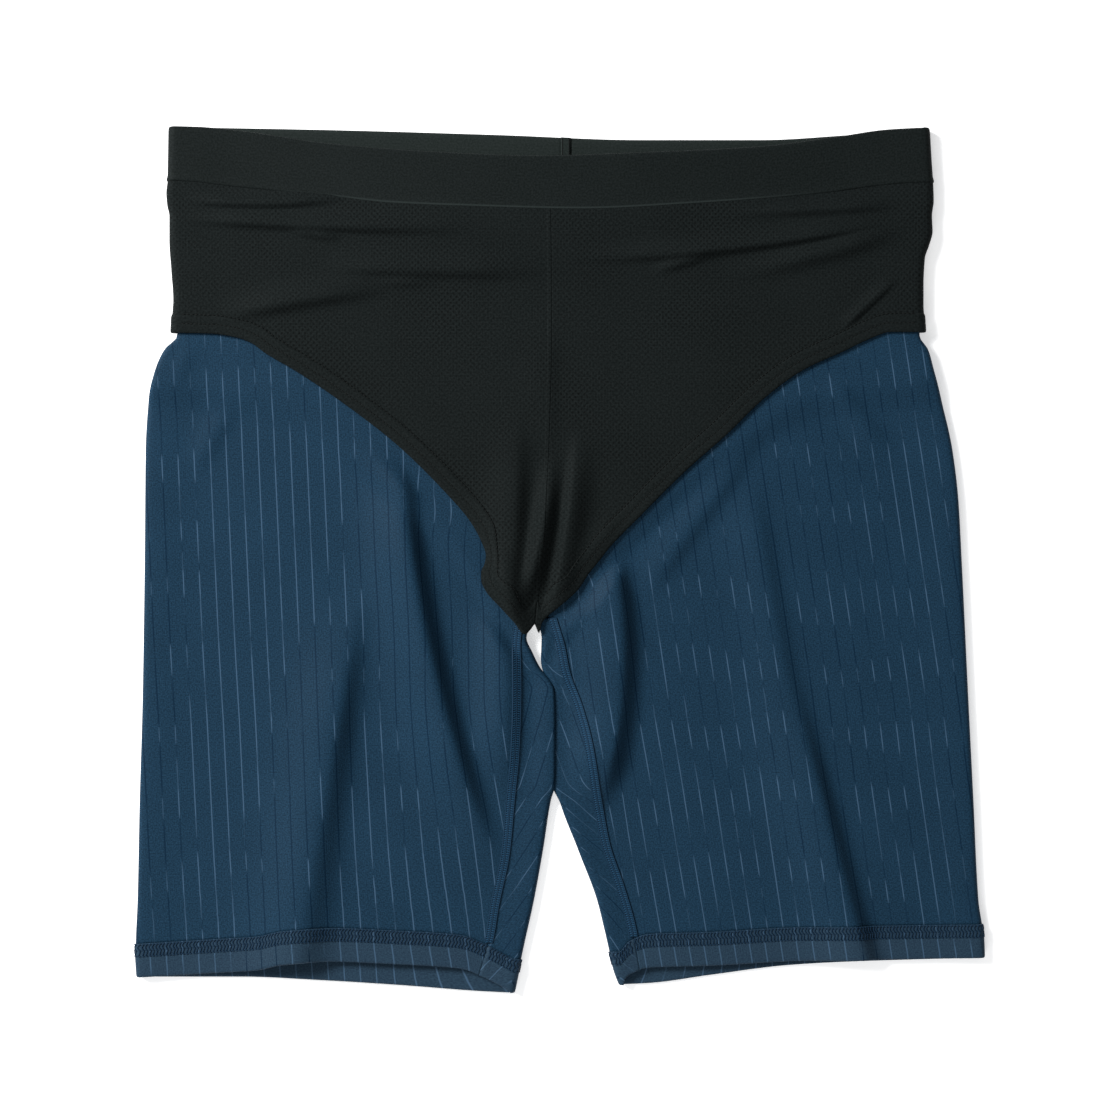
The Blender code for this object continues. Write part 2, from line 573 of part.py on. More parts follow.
def band_rows(sides):
    """The waistband, a ring cut at the centre back, from its seam up."""
    left, right = sides
    rows = []
    for j in range(BAND_ROWS + 1):
        t = j / BAND_ROWS

        def front_y(x, t=t):
            return curve(WAIST_SEAM_FRONT, x) * (1 - t) + curve(BAND_TOP_FRONT, x) * t

        def back_y(x, t=t):
            return curve(BAND_TOP_BACK, x) - BAND_DEPTH * (1 - t)

        ends = []
        for side in (left, right):
            y = float(front_y(side.sign * 200.0))
            height = LEG_BACK_LIFT + HIP_SIDE + LAYER_GAP + BRIEF_WALL
            x_fold, radius = side.fold_x(side.hip, y, height, BAND_WALL, -side.sign)
            ends.append((x_fold, radius, height - BAND_WALL / 2, y))
        (x_left, r_left, z_left, y_left), (x_right, r_right, z_right, y_right) = ends
        front_x = np.linspace(x_left, x_right, BAND_COLUMNS + 1)
        y = front_y(front_x)
        z = np.where(front_x < 0, left.top(front_x, y), right.top(front_x, y))
        z = z + LAYER_GAP + BRIEF_WALL - BAND_WALL / 2
        z[0], z[-1] = z_left, z_right
        front = np.stack([front_x, y, z], 1)
        low = BAND_WALL / 2
        steps = ARC_STEPS + 1
        fold_left = arc(x_left, z_left, low, r_left, -1, steps, y_left)[::-1]
        fold_right = arc(x_right, z_right, low, r_right, 1, steps, y_right)
        half = BAND_COLUMNS // 3
        back_left_x = np.linspace(CENTRE_BACK_X - SEAM_GAP / 2, x_left, half + 1)
        back_right_x = np.linspace(x_right, CENTRE_BACK_X + SEAM_GAP / 2, half + 1)
        back_left = np.stack(
            [back_left_x, back_y(back_left_x), np.full_like(back_left_x, low)], 1
        )
        back_right = np.stack(
            [back_right_x, back_y(back_right_x), np.full_like(back_right_x, low)], 1
        )
        rows.append(np.concatenate([back_left, fold_left, front, fold_right, back_right]))
    return np.array(rows)


def back_seam_rows():
    """The flat seam on the inside of the waistband at its centre back."""
    x = CENTRE_BACK_X + FLAT_SEAM / 2 * np.array([-1.0, 0.0, 1.0])
    z = BAND_WALL + SEAM_GAP + SEAM_WALL / 2
    rows = []
    for t in (0.0, 0.5, 1.0):
        y = curve(BAND_TOP_BACK, x) - BAND_DEPTH * (1 - t)
        rows.append(np.stack([x, y, np.full_like(x, z)], 1))
    return np.array(rows)


def normals(grid):
    """Unit normals of a grid of points, turned to face up."""
    across = np.gradient(grid, axis=1)
    down = np.gradient(grid, axis=0)
    n = np.cross(across, down)
    n /= np.linalg.norm(n, axis=2)[:, :, None]
    return n * np.where(n[:, :, 2:] < 0, -1.0, 1.0)


def raised(grid, wall):
    """A grid that lies on another one's wall, moved out from its own points."""
    return grid + normals(grid) * (wall / 2 + STRIP_GAP + SEAM_WALL / 2)


def inseam_rows(side, leg):
    """The flat seam over a leg's inseam, from the leg's own columns beside it."""
    closed = leg[:ROWS_BELOW_CROTCH]
    middle = (closed[:, 0] + closed[:, -1]) / 2
    grid = np.stack([closed[:, 1], middle, closed[:, -2]], 1)
    return raised(grid, LEG_WALL)


def centre_seam_rows(panel_left, panel_right):
    """The flat seam over the brief's centre, from the panels' own columns beside it."""
    middle = (panel_left[:, -1] + panel_right[:, -1]) / 2
    grid = np.stack([panel_left[:, -2], middle, panel_right[:, -2]], 1)
    return raised(grid, BRIEF_WALL)


def cloth_material(name, colour, roughness):
    """A matt cloth in one plain colour, given as linear red, green and blue."""
    material = bpy.data.materials.new(name)
    material.use_nodes = True
    shader = material.node_tree.nodes["Principled BSDF"]
    shader.inputs["Base Color"].default_value = (*colour, 1.0)
    shader.inputs["Roughness"].default_value = roughness
    shader.inputs["Metallic"].default_value = 0.0
    return material


def cloth_object(name, grid, wall, material, parent):
    """A wall of cloth through a grid of mid-wall points. Cells with a missing point are
    left out, and Solidify gives the wall its thickness."""
    rows, columns = grid.shape[:2]
    number = np.arange(rows * columns).reshape(rows, columns)
    there = np.isfinite(grid[:, :, 0])
    cell = there[:-1, :-1] & there[1:, :-1] & there[:-1, 1:] & there[1:, 1:]
    corners = (number[:-1, :-1], number[:-1, 1:], number[1:, 1:], number[1:, :-1])
    a, b, c, d = (corner[cell] for corner in corners)
    faces = np.concatenate([np.stack([a, b, c], 1), np.stack([a, c, d], 1)])
    used, faces = np.unique(faces, return_inverse=True)
    points = grid.reshape(-1, 3)[used] * MM
    mesh = bpy.data.meshes.new(name)
    mesh.from_pydata(points.tolist(), [], faces.reshape(-1, 3).tolist())
    mesh.update()
    mesh.materials.append(material)
    obj = bpy.data.objects.new(name, mesh)
    bpy.context.scene.collection.objects.link(obj)
    obj.parent = parent
    thicken = obj.modifiers.new("wall", "SOLIDIFY")
    thicken.thickness = wall * MM
    thicken.offset = 0.0
    thicken.use_even_offset = False
    return obj


def lay_down(garment):
    """Moves the cloth so that it rests on the surface, with the middle of its outline over
    the origin."""
    depsgraph = bpy.context.evaluated_depsgraph_get()
    boxes = [piece.evaluated_get(depsgraph).bound_box for piece in garment.children]
    corners = np.concatenate([np.array(box) for box in boxes])
    low, high = corners.min(0), corners.max(0)
    x, y, _ = (low + high) / 2
    for piece in garment.children:
        piece.data.transform(Matrix.Translation((-x, -y, -low[2])))


def build():
    for obj in list(bpy.data.objects):
        bpy.data.objects.remove(obj)
    garment = bpy.data.objects.new("half_tights", None)
    bpy.context.scene.collection.objects.link(garment)
    blue = cloth_material("striped_jersey_navy", (0.022, 0.062, 0.125), 0.6)
    stitched = cloth_material("overlock_thread_navy", (0.012, 0.035, 0.075), 0.7)
    mesh_knit = cloth_material("mesh_knit_black", (0.011, 0.012, 0.012), 0.75)
    elastic = cloth_material("elastic_black", (0.010, 0.011, 0.011), 0.7)
    sides = (Side(-1), Side(1))
    panels = []
    for side in sides:
        leg = leg_rows(side)
        cloth_object(f"leg_{side.name}", leg, LEG_WALL, blue, garment)
        cloth_object(f"leg_hem_{side.name}", hem_rows(side), HEM_WALL, blue, garment)
        seam = inseam_rows(side, leg)
        cloth_object(f"inseam_{side.name}", seam, SEAM_WALL, stitched, garment)
        panel = brief_grid(side, brief_lines(side), BRIEF_WALL, 0.0)
        panels.append(panel)
        cloth_object(f"brief_front_{side.name}", panel, BRIEF_WALL, mesh_knit, garment)
        edge = brief_grid(side, edge_lines(side), EDGE_WALL, EDGE_WALL - BRIEF_WALL)
        cloth_object(f"brief_edge_{side.name}", edge, EDGE_WALL, mesh_knit, garment)
    centre = centre_seam_rows(*panels)
    cloth_object("brief_centre_seam", centre, SEAM_WALL, mesh_knit, garment)
    cloth_object("brief_back", brief_back_rows(), BRIEF_WALL, mesh_knit, garment)
    cloth_object("waistband", band_rows(sides), BAND_WALL, elastic, garment)
    cloth_object("waistband_back_seam", back_seam_rows(), SEAM_WALL, elastic, garment)
    lay_down(garment)


build()
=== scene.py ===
import math

import bpy
import numpy as np
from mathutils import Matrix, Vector


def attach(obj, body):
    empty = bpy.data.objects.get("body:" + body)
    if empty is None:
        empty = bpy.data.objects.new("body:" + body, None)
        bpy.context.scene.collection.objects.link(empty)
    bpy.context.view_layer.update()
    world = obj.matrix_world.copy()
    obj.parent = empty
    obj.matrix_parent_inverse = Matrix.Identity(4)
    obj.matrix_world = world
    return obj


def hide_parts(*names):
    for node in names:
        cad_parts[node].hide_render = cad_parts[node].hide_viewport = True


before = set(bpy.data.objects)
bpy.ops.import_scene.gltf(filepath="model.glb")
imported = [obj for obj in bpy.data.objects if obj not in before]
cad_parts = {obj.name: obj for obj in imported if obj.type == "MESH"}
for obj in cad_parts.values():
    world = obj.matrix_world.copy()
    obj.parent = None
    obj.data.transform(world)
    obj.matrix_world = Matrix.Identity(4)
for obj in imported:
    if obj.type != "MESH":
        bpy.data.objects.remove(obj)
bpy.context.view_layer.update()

# Half tights lying flat and inside out, seen from straight above. The forms are the same
# tables and formulas as the solids, in millimetres, worked out on much finer grids, with
# the small creases, the stitches and the finishes added. No simulation is run.

MM = 0.001

# Walls: jersey, its doubled hem, the mesh knit, its turned edge and the elastic band
LEG_WALL = 1.0
HEM_WALL = 1.8
BRIEF_WALL = 0.9
EDGE_WALL = 1.4
BAND_WALL = 2.2

# Thickness of a leg at its middle, its outer fold and the hips, how far its two layers
# part more at the waist and the hem, and how far the brief is above it and lifts it
LEG_MIDDLE = 3.8
LEG_SIDE = 5.2
HIP_SIDE = 4.2
WAIST_GAPE = 5.0
HEM_GAPE = 1.2
LAYER_GAP = 0.6
BAND_GAP = 1.6
LEG_BACK_LIFT = 2.2

# Depths of the turned edges and the band, widths of the seams, and the jersey's stripes
LEG_HEM = 17.5
BRIEF_EDGE = 8.6
BAND_DEPTH = 28.8
FLAT_SEAM = 4.8
BAND_SEAM = 5.2
SIDE_SEAM_INSET = 12.0
STRIPE_PITCH = 8.4
DASH_PITCH = 37.0
# Stitches: pitch, and depth into the cloth of each row on the hem and the brief's edge
STITCH_PITCH = 1.75
LADDER_PITCH = 1.2
EDGE_STITCH_PITCH = 2.2
HEM_ROWS = (11.0, 14.1, 17.1)
EDGE_ROWS = (9.6, 4.8)
# Over this far round the brief's edge the legs' folds are flattened, and then fade in
EDGE_REACH = 4.0
EDGE_FADE = 10.0
CROTCH_Y = -30.0
CENTRE_BACK_X = 3.0
BRIEF_BACK_X = -12.0
# The frame is filled by this width of the plane at this height, seen from this far off
VIEW_WIDTH, VIEW_PLANE, VIEW_DISTANCE = 582.4, 5.0, 1600.0

# Outline of the hips and waistband at each side: y, x
HIP_LEFT = [
    (225.7, -203.8), (197, -204.3), (191, -204.9), (184.6, -204.4), (179, -203.3),
    (166.4, -203.3), (150.8, -202.3), (135.2, -201.3), (124.8, -202), (116, -202.4),
]
HIP_RIGHT = [
    (225.7, 192.4), (208, 193.4), (196, 194.2), (187, 194.5), (179, 193.6), (171, 193.9),
    (163.8, 192.1), (157, 189.9), (143, 189.2), (132.6, 189.2), (124.8, 189.7), (116, 190.3),
]

# Outer fold of each leg below the brief's side hem: y, x
OUTER_LEFT = [
    (109.2, -205.9), (98.8, -210.6), (83.2, -214.2), (57.2, -215.8), (0, -216.3),
    (-72.8, -217.4), (-124.8, -218.9), (-176.8, -220), (-202.8, -221), (-218, -220.2),
]
OUTER_RIGHT = [
    (109.2, 191.6), (98.8, 194.5), (83.2, 198.6), (57.2, 204.4), (31.2, 207.5), (0, 209.2),
    (-72.8, 212.7), (-124.8, 215.3), (-176.8, 217.9), (-195, 220.4), (-208, 221),
]

# Inner fold of each leg below the crotch: y, x
INNER_LEFT = [
    (-30, -13), (-40.6, -17.4), (-48, -14.4), (-57, -9.8), (-61, -6.2), (-67.6, -2.9),
    (-82.7, -2.4), (-117, -2.6), (-124.8, -4.7), (-150.8, -8.8), (-176.8, -13.5),
    (-202.8, -19.2), (-226, -24),
]
INNER_RIGHT = [
    (-30, -12.3), (-40.6, -9.6), (-52, -10), (-57, -9.2), (-67.6, -2), (-82.7, -1.6),
    (-117, -1.8), (-124.8, -0.3), (-150.8, 9.4), (-176.8, 19.2), (-192.4, 23.1), (-213.2, 28.1),
    (-222, 31.4),
]

# Inseam, where the two edges of a leg's cloth meet on the upper layer: y, x
INSEAM_LEFT = [
    (-30, -21), (-44, -22.6), (-68, -22.4), (-100, -23.4), (-123, -25.5), (-152, -28.2),
    (-180, -33.9), (-197.5, -36.8), (-222, -43.6),
]
INSEAM_RIGHT = [
    (-30, -4), (-44, 0.2), (-57.5, 2.9), (-76, 9.8), (-94.6, 14.8), (-128, 20.1), (-148, 23.9),
    (-168, 30.7), (-189, 36.9), (-222, 43),
]

# From here out a leg's columns run on past the crotch without a bend: y, x
EVEN_FROM_LEFT = [(-226, -72), (-140, -54), (-30, -46), (190, -46)]
EVEN_FROM_RIGHT = [(-226, 72), (-140, 48), (-30, 22), (190, 22)]

# Centre seam of the brief and of the legs under it: y, x
CENTRE_SEAM = [(225, -5.6), (120, -4.7), (62, -6), (20, -8), (-34, -13.2)]

# Lower edge of each leg's upper and lower layer: x, y
HEM_LEFT_FRONT = [
    (-220.5, -217.2), (-187, -215.3), (-158, -213.2), (-143, -209.9), (-125, -208.8),
    (-85, -210.3), (-52, -212.6), (-38.7, -217.6), (-24, -225.2),
]
HEM_LEFT_BACK = [
    (-220.5, -217.2), (-166, -217.2), (-125, -219), (-83, -221.6), (-42, -224.7), (-24, -225.6),
]
HEM_RIGHT_FRONT = [
    (31.4, -221.2), (36, -215.8), (46.8, -212), (78, -211), (125, -208.5), (192, -207.5),
    (221, -207),
]
HEM_RIGHT_BACK = [
    (31.4, -221.2), (46.8, -220.5), (78, -216.3), (119.6, -211.1), (152, -209.3), (221, -207.2),
]

# Seam of the waistband and its upper edge: x, y
WAIST_SEAM_FRONT = [
    (-205, 196.9), (-196, 196.7), (-170, 193.8), (-120, 188.8), (-88, 185.1), (-52, 183.4),
    (10, 181.8), (73, 185), (143, 191.2), (164, 194.2), (186, 195.9), (195, 196),
]
BAND_TOP_FRONT = [
    (-205, 225.5), (-187, 225), (-162, 222.4), (-121, 216.3), (-66, 211.7), (-10, 209.5),
    (45, 211.4), (101, 214.4), (143, 219.7), (170, 223.6), (193, 224.8),
]
BAND_TOP_BACK = [
    (-205, 225.7), (-119, 224.1), (-31, 221.5), (42, 218.9), (104, 218.9), (151, 221.5),
    (193, 224.8),
]

# Lower edge of the brief's front, from the side seam to the tip at the crotch: x, y
BRIEF_EDGE_LEFT = [
    (-202.3, 118), (-183.6, 117.5), (-169.5, 115.4), (-162, 112.6), (-155, 107.6),
    (-137.8, 97.8), (-109.7, 79), (-84, 59), (-57, 32.2), (-46.8, 20), (-41.2, 10), (-38.6, 2),
    (-39.2, -1.6), (-41.2, -6.5), (-41.2, -10), (-38.8, -16), (-30.2, -25.6), (-23.9, -32.6),
    (-18.7, -38.6), (-13.6, -33),
]
BRIEF_EDGE_RIGHT = [
    (189.9, 118.4), (174.7, 118.4), (163.3, 114.9), (149.8, 108.7), (126.9, 98.3),
    (107.1, 84.2), (87.4, 65.5), (66, 46.8), (40, 21.1), (26, 6.8), (19.4, -1.6), (15, -7),
    (9.6, -15.1), (0, -23.9), (-6.5, -29.2), (-9.6, -33), (-11, -38), (-13.2, -33),
]
# The same edge as a height over x, and the plainer edge of the brief's back
FRONT_EDGE = [
    (-205, 117), (-169, 114), (-109, 75.4), (-57, 32.2), (-40, -4), (-14, -34), (8, -17),
    (20, 0), (73, 54.6), (125, 98.8), (195, 116),
]
BACK_EDGE = [
    (0, -18), (16, -6), (45, 38), (97, 82), (149, 112), (205, 118),
]

# Each fold is a ridge along an arc from its start x0, y0 to its end x1, y1. Its crest bows
# out to the left of that way by bow, stands up by height, and falls off over two widths:
# gentle on the right of the way, and on the left from steep to steep_end. rise and die
# are the shares of its length over which it comes up and dies away. The columns:
# x0, y0, x1, y1, bow, height, gentle, steep, steep_end, rise, die
LEG_FOLDS_LEFT = [
    (-104, -8, -143, -240, 0, 6.9, 22, 5.8, 14, 0.35, 0.02),
    (-86, 78, -31, -168, -10.5, 8.5, 17, 5.6, 6.6, 0.32, 0.3),
    (-27, -4, -31, -134, 0, 5.4, 13, 10, 10, 0.3, 0.4),
    (-168, 86, -193, 42, 0, 1.2, 8, 5, 5, 0.4, 0.4),
    (-192, 122, -203, 84, 0, 1.4, 5, 5, 5, 0.3, 0.5),
]
LEG_FOLDS_RIGHT = [
    (23, 16, 16, -136, 12, 7.2, 25, 5.6, 6.6, 0.22, 0.25),
    (96, 50, 122, -96, 0.5, 2.4, 14, 6, 6, 0.3, 0.4),
    (112, -40, 166, -240, 0, 5.6, 20, 5.5, 6.5, 0.4, 0.02),
    (104, 66, 40, -22, 0, 2, 10, 5, 5, 0.3, 0.3),
    (138, 98, 174, 50, 0, 1.2, 8, 4.5, 4.5, 0.3, 0.4),
    (-3, -26, 2, -92, 0, 2.6, 8, 6, 6, 0.4, 0.4),
]
BRIEF_FOLDS = [
    (-108, 188.5, -197, 187.5, 3, 2.9, 4, 2, 2, 0.35, 0.3),
    (-36, 171.5, -200, 177.5, 1.5, 3.1, 6, 2.2, 2.2, 0.4, 0.25),
    (-112, 166.5, -142, 171, 0, 1.9, 3, 1.7, 1.7, 0.4, 0.4),
    (-2, 149.5, -128, 152.5, 1, 3.1, 8, 2.8, 2.8, 0.35, 0.35),
    (-62, 143.5, -100, 144, 0, 1.6, 5, 2, 2, 0.5, 0.5),
    (-84, 142, -180, 126, -1, 3.6, 8, 3.6, 3.6, 0.4, 0.35),
    (172, 176, -4, 156, 5, 3.4, 6, 1.7, 1.7, 0.25, 0.4),
    (84, 160, 46, 149, 0, 2.1, 4, 1.9, 1.9, 0.5, 0.4),
    (178, 172, 82, 147, 2, 3.2, 6, 4.5, 4.5, 0.3, 0.5),
    (180, 185, 78, 180, 1, 2.6, 3.6, 2.4, 2.4, 0.3, 0.5),
    (176, 147, 145, 118.5, 0, 1.5, 4, 1.1, 1.1, 0.3, 0.3),
    (60, 130, 130, 128, 0, 0.9, 9, 9, 9, 0.5, 0.5),
    (-6.4, 134, -6.9, 46, 0, 1, 13, 5, 5, 0.4, 0.3),
    (-23, 86, -27.5, -38, 1.5, 4.6, 14, 6, 6, 0.5, 0.3),
    (-4, 58, -20.5, -27, 3, 6.4, 5, 4.6, 5.6, 0.45, 0.28),
    (10, 72, -5.5, -33, 2, 5.4, 3.2, 8, 8, 0.45, 0.25),
    (-32.5, 12, -22, -44, 0, 5.5, 6, 8, 9, 0.5, 0.1),
    (34, 28, 6, -10, 0, 1.2, 6, 5, 5, 0.5, 0.4),
]


def curve(table, at):
    """A smooth curve through a table of (position, value), which never leaves the range
    of the two values it is between: cubic pieces whose slopes are the harmonic mean of
    the slopes on both sides, or 0 at a peak."""
    known, values = np.array(sorted(table), float).T
    at = np.clip(np.asarray(at, float), known[0], known[-1])
    secants = np.diff(values) / np.diff(known)
    before, after = secants[:-1], secants[1:]
    same_way = before * after > 0
    slopes = secants[[0, *range(len(secants) - 1), -1]]
    slopes[1:-1] = 0
    slopes[1:-1][same_way] = (2 * before * after)[same_way] / (before + after)[same_way]
    i = np.clip(np.searchsorted(known, at, side="right") - 1, 0, len(known) - 2)
    step = known[i + 1] - known[i]
    t = (at - known[i]) / step
    return (
        values[i] * (1 + 2 * t) * (1 - t) ** 2
        + values[i + 1] * t**2 * (3 - 2 * t)
        + step * slopes[i] * t * (1 - t) ** 2
        - step * slopes[i + 1] * t**2 * (1 - t)
    )


def ramp(t):
    """0 below 0, 1 above 1, and 3t² - 2t³ between."""
    t = np.clip(t, 0, 1)
    return t * t * (3 - 2 * t)


def fold_height(folds, x, y):
    """The height that a table of folds adds: for each row a bell, exp(-(d / width)²), of
    the distance d from an arc-shaped crest, with a different width on each side."""
    total = np.zeros(np.broadcast(x, y).shape)
    for x0, y0, x1, y1, bow, height, gentle, steep, steep_end, rise, die in folds:
        length = np.hypot(x1 - x0, y1 - y0)
        ex, ey = (x1 - x0) / length, (y1 - y0) / length
        along = ((x - x0) * ex + (y - y0) * ey) / length
        t = np.clip(along, 0, 1)
        left = ex * (y - y0) - ey * (x - x0) - bow * 4 * t * (1 - t)
        width = np.where(left > 0, steep + (steep_end - steep) * t, gentle)
        fade = ramp(along / rise) * ramp((1 - along) / die)
        total = total + height * fade * np.exp(-((left / width) ** 2))
    return total


def travelled(points):
    """Length along a row of points up to each of them."""
    steps = np.linalg.norm(np.diff(points, axis=0), axis=1)
    return np.concatenate([[0], np.cumsum(steps)])


def unit(vectors):
    """The same ways at length 1."""
    return vectors / np.maximum(np.linalg.norm(vectors, axis=-1, keepdims=True), 1e-12)


def along_edge(table, shares):
    """Points on a smooth curve through a table of (x, y), at shares of its length."""
    points = np.array(table, float)
    known = travelled(points)
    at = np.asarray(shares) * known[-1]
    x = curve(list(zip(known, points[:, 0])), at)
    y = curve(list(zip(known, points[:, 1])), at)
    return np.stack([x, y], -1)


def near_brief(x, y):
    """1 under the brief's front and close to its edge, falling to 0 further off: a ramp
    of the distance to the nearest of 120 points on the edge."""
    shares = np.linspace(0, 1, 60)
    edge = np.concatenate([along_edge(t, shares) for t in (BRIEF_EDGE_LEFT, BRIEF_EDGE_RIGHT)])
    distance = np.hypot(x[..., None] - edge[:, 0], y[..., None] - edge[:, 1]).min(-1)
    distance = np.where(y > curve(FRONT_EDGE, x), 0, distance)
    return ramp((EDGE_REACH + EDGE_FADE - distance) / EDGE_FADE)


def centre_x(y):
    """x of the centre seam."""
    return curve(CENTRE_SEAM, y)


def back_edge(x):
    """y of the lower edge of the brief's back, the same both ways from its middle."""
    return curve(BACK_EDGE, np.abs(x - BRIEF_BACK_X))


def lift(x, y):
    """How far the legs' lower layer stands up where the brief's back lies under it."""
    return LEG_BACK_LIFT * ramp((y - back_edge(x) + 40) / 16)


class Side:
    """The tables of one half of the garment. sign is -1 on the left and 1 on the right."""

    def __init__(self, sign):
        self.sign = sign
        pairs = dict(
            name=("left", "right"), hip=(HIP_LEFT, HIP_RIGHT),
            outer=(OUTER_LEFT, OUTER_RIGHT), inner=(INNER_LEFT, INNER_RIGHT),
            inseam=(INSEAM_LEFT, INSEAM_RIGHT), folds=(LEG_FOLDS_LEFT, LEG_FOLDS_RIGHT),
            hem_front=(HEM_LEFT_FRONT, HEM_RIGHT_FRONT),
            hem_back=(HEM_LEFT_BACK, HEM_RIGHT_BACK),
            brief_edge=(BRIEF_EDGE_LEFT, BRIEF_EDGE_RIGHT),
            even_from=(EVEN_FROM_LEFT, EVEN_FROM_RIGHT),
            # Middle of the hem's gape, thickness of the inner fold where the legs meet,
            # the columns' bow at the brief's tip, and how much narrower its turned edge
            # is in the small bay beside the tip
            gape_x=(-92, 82), inner_side=(6.6, 4.8), tip_bow=(3.5, 0), bay=(0.4, 0),
            # Lean of the stripes as sideways travel over height: on the front, on the
            # strip that comes round the inner fold, and more beside the inseam
            lean=(0.045, 0.15), strip_lean=(-0.37, 0.52), pull=(0.06, 0.03),
        )
        for key, (left, right) in pairs.items():
            setattr(self, key, left if sign < 0 else right)
        hip_x = sign * (min(abs(x) for y, x in self.hip) - BRIEF_WALL - LAYER_GAP - 0.6)
        self.outer = [(225, hip_x), (116.5, hip_x)] + self.outer

    def side_height(self, y):
        """Thickness of the leg at its outer fold."""
        return LEG_SIDE - (LEG_SIDE - HIP_SIDE) * ramp((y - 95) / 25)

    def touching(self, y):
        """1 where the left leg's inner fold lies on the right one's, and 0 elsewhere."""
        return ramp((-58 - y) / 12) * ramp((y + 128) / 14)

    def inner_height(self, y):
        """Thickness of the leg at its inner fold below the crotch."""
        side = LEG_SIDE + (self.inner_side - LEG_SIDE) * self.touching(y)
        return LEG_MIDDLE + (side - LEG_MIDDLE) * ramp((-34 - y) / 14)

    def fold_x(self, table, y, height, wall, inward, proud=0):
        """x of the middle of a side fold's arc, and the arc's radius at mid wall."""
        radius = (height - wall) / 2
        return curve(table, y) + inward * (wall / 2 + radius - proud), radius

    def top(self, x, y):
        """Height of the leg's upper face: flat cloth, thicker at the side folds by bells
        of the distance to them, plus the gapes at waist and hem and the folds."""
        outer_x, _ = self.fold_x(self.outer, y, self.side_height(y), LEG_WALL, -self.sign)
        inner_x, _ = self.fold_x(self.inner, y, self.inner_height(y), LEG_WALL, self.sign)
        near_outer = np.exp(-(((x - outer_x) / 16) ** 2))
        near_inner = np.exp(-(((x - inner_x) / 9) ** 2)) * (y < CROTCH_Y)
        waist = WAIST_GAPE * np.clip(1 - ((x + 5) / 175) ** 2, 0, 1) ** 2
        waist = waist * ramp((y - 130) / 55)
        hem = HEM_GAPE * np.exp(-(((x - self.gape_x) / 60) ** 2)) * ramp((-120 - y) / 60)
        folds = fold_height(self.folds, x, y) * (1 - near_brief(x, y)) + hem
        return (
            lift(x, y)
            + LEG_MIDDLE
            + (self.side_height(y) - LEG_MIDDLE) * near_outer
            + (self.inner_height(y) - LEG_MIDDLE) * near_inner
            + waist
            + folds * (1 - near_outer) * (1 - near_inner)
        )

    def brief_top(self, x, y, wall=BRIEF_WALL):
        """Height of the brief's upper face, which lies on the leg and has its own folds."""
        return self.top(x, y) + LAYER_GAP + wall + fold_height(BRIEF_FOLDS, x, y)


def arc(x_centre, top, bottom, radius_x, outward, steps, y):
    """Points round a side fold for each row, from its top to its bottom at mid wall
    without its ends: a half ellipse, sine out and cosine down."""
    angle = np.linspace(0, np.pi, steps + 1)[1:-1]
    middle, half = (top + bottom) / 2, (top - bottom) / 2
    x = x_centre[:, None] + outward * radius_x[:, None] * np.sin(angle)
    z = middle[:, None] + half[:, None] * np.cos(angle)
    return np.stack([x, np.broadcast_to(y[:, None], x.shape), z], -1)


def span(start, *legs):
    """Columns from start on for each row, over legs of (stop, even steps to it)."""
    columns = []
    for stop, count in legs:
        share = np.arange(count) / count
        columns.append(start[:, None] * (1 - share) + stop[:, None] * share)
        start = stop
    return np.concatenate([*columns, start[:, None]], 1)


# Columns of a leg's ring: on half the flat seam, from there to the inner thigh, on to
# the outer fold, on the lower layer and on the strip past the inner fold; and the steps
# of a fold's arc
SEAM_COLUMNS, THIGH_COLUMNS, OUTER_COLUMNS = 3, 16, 90
FRONT_COLUMNS = SEAM_COLUMNS + THIGH_COLUMNS + OUTER_COLUMNS + 1
BACK_COLUMNS = 42
STRIP_COLUMNS = 9
ARC_STEPS = 10


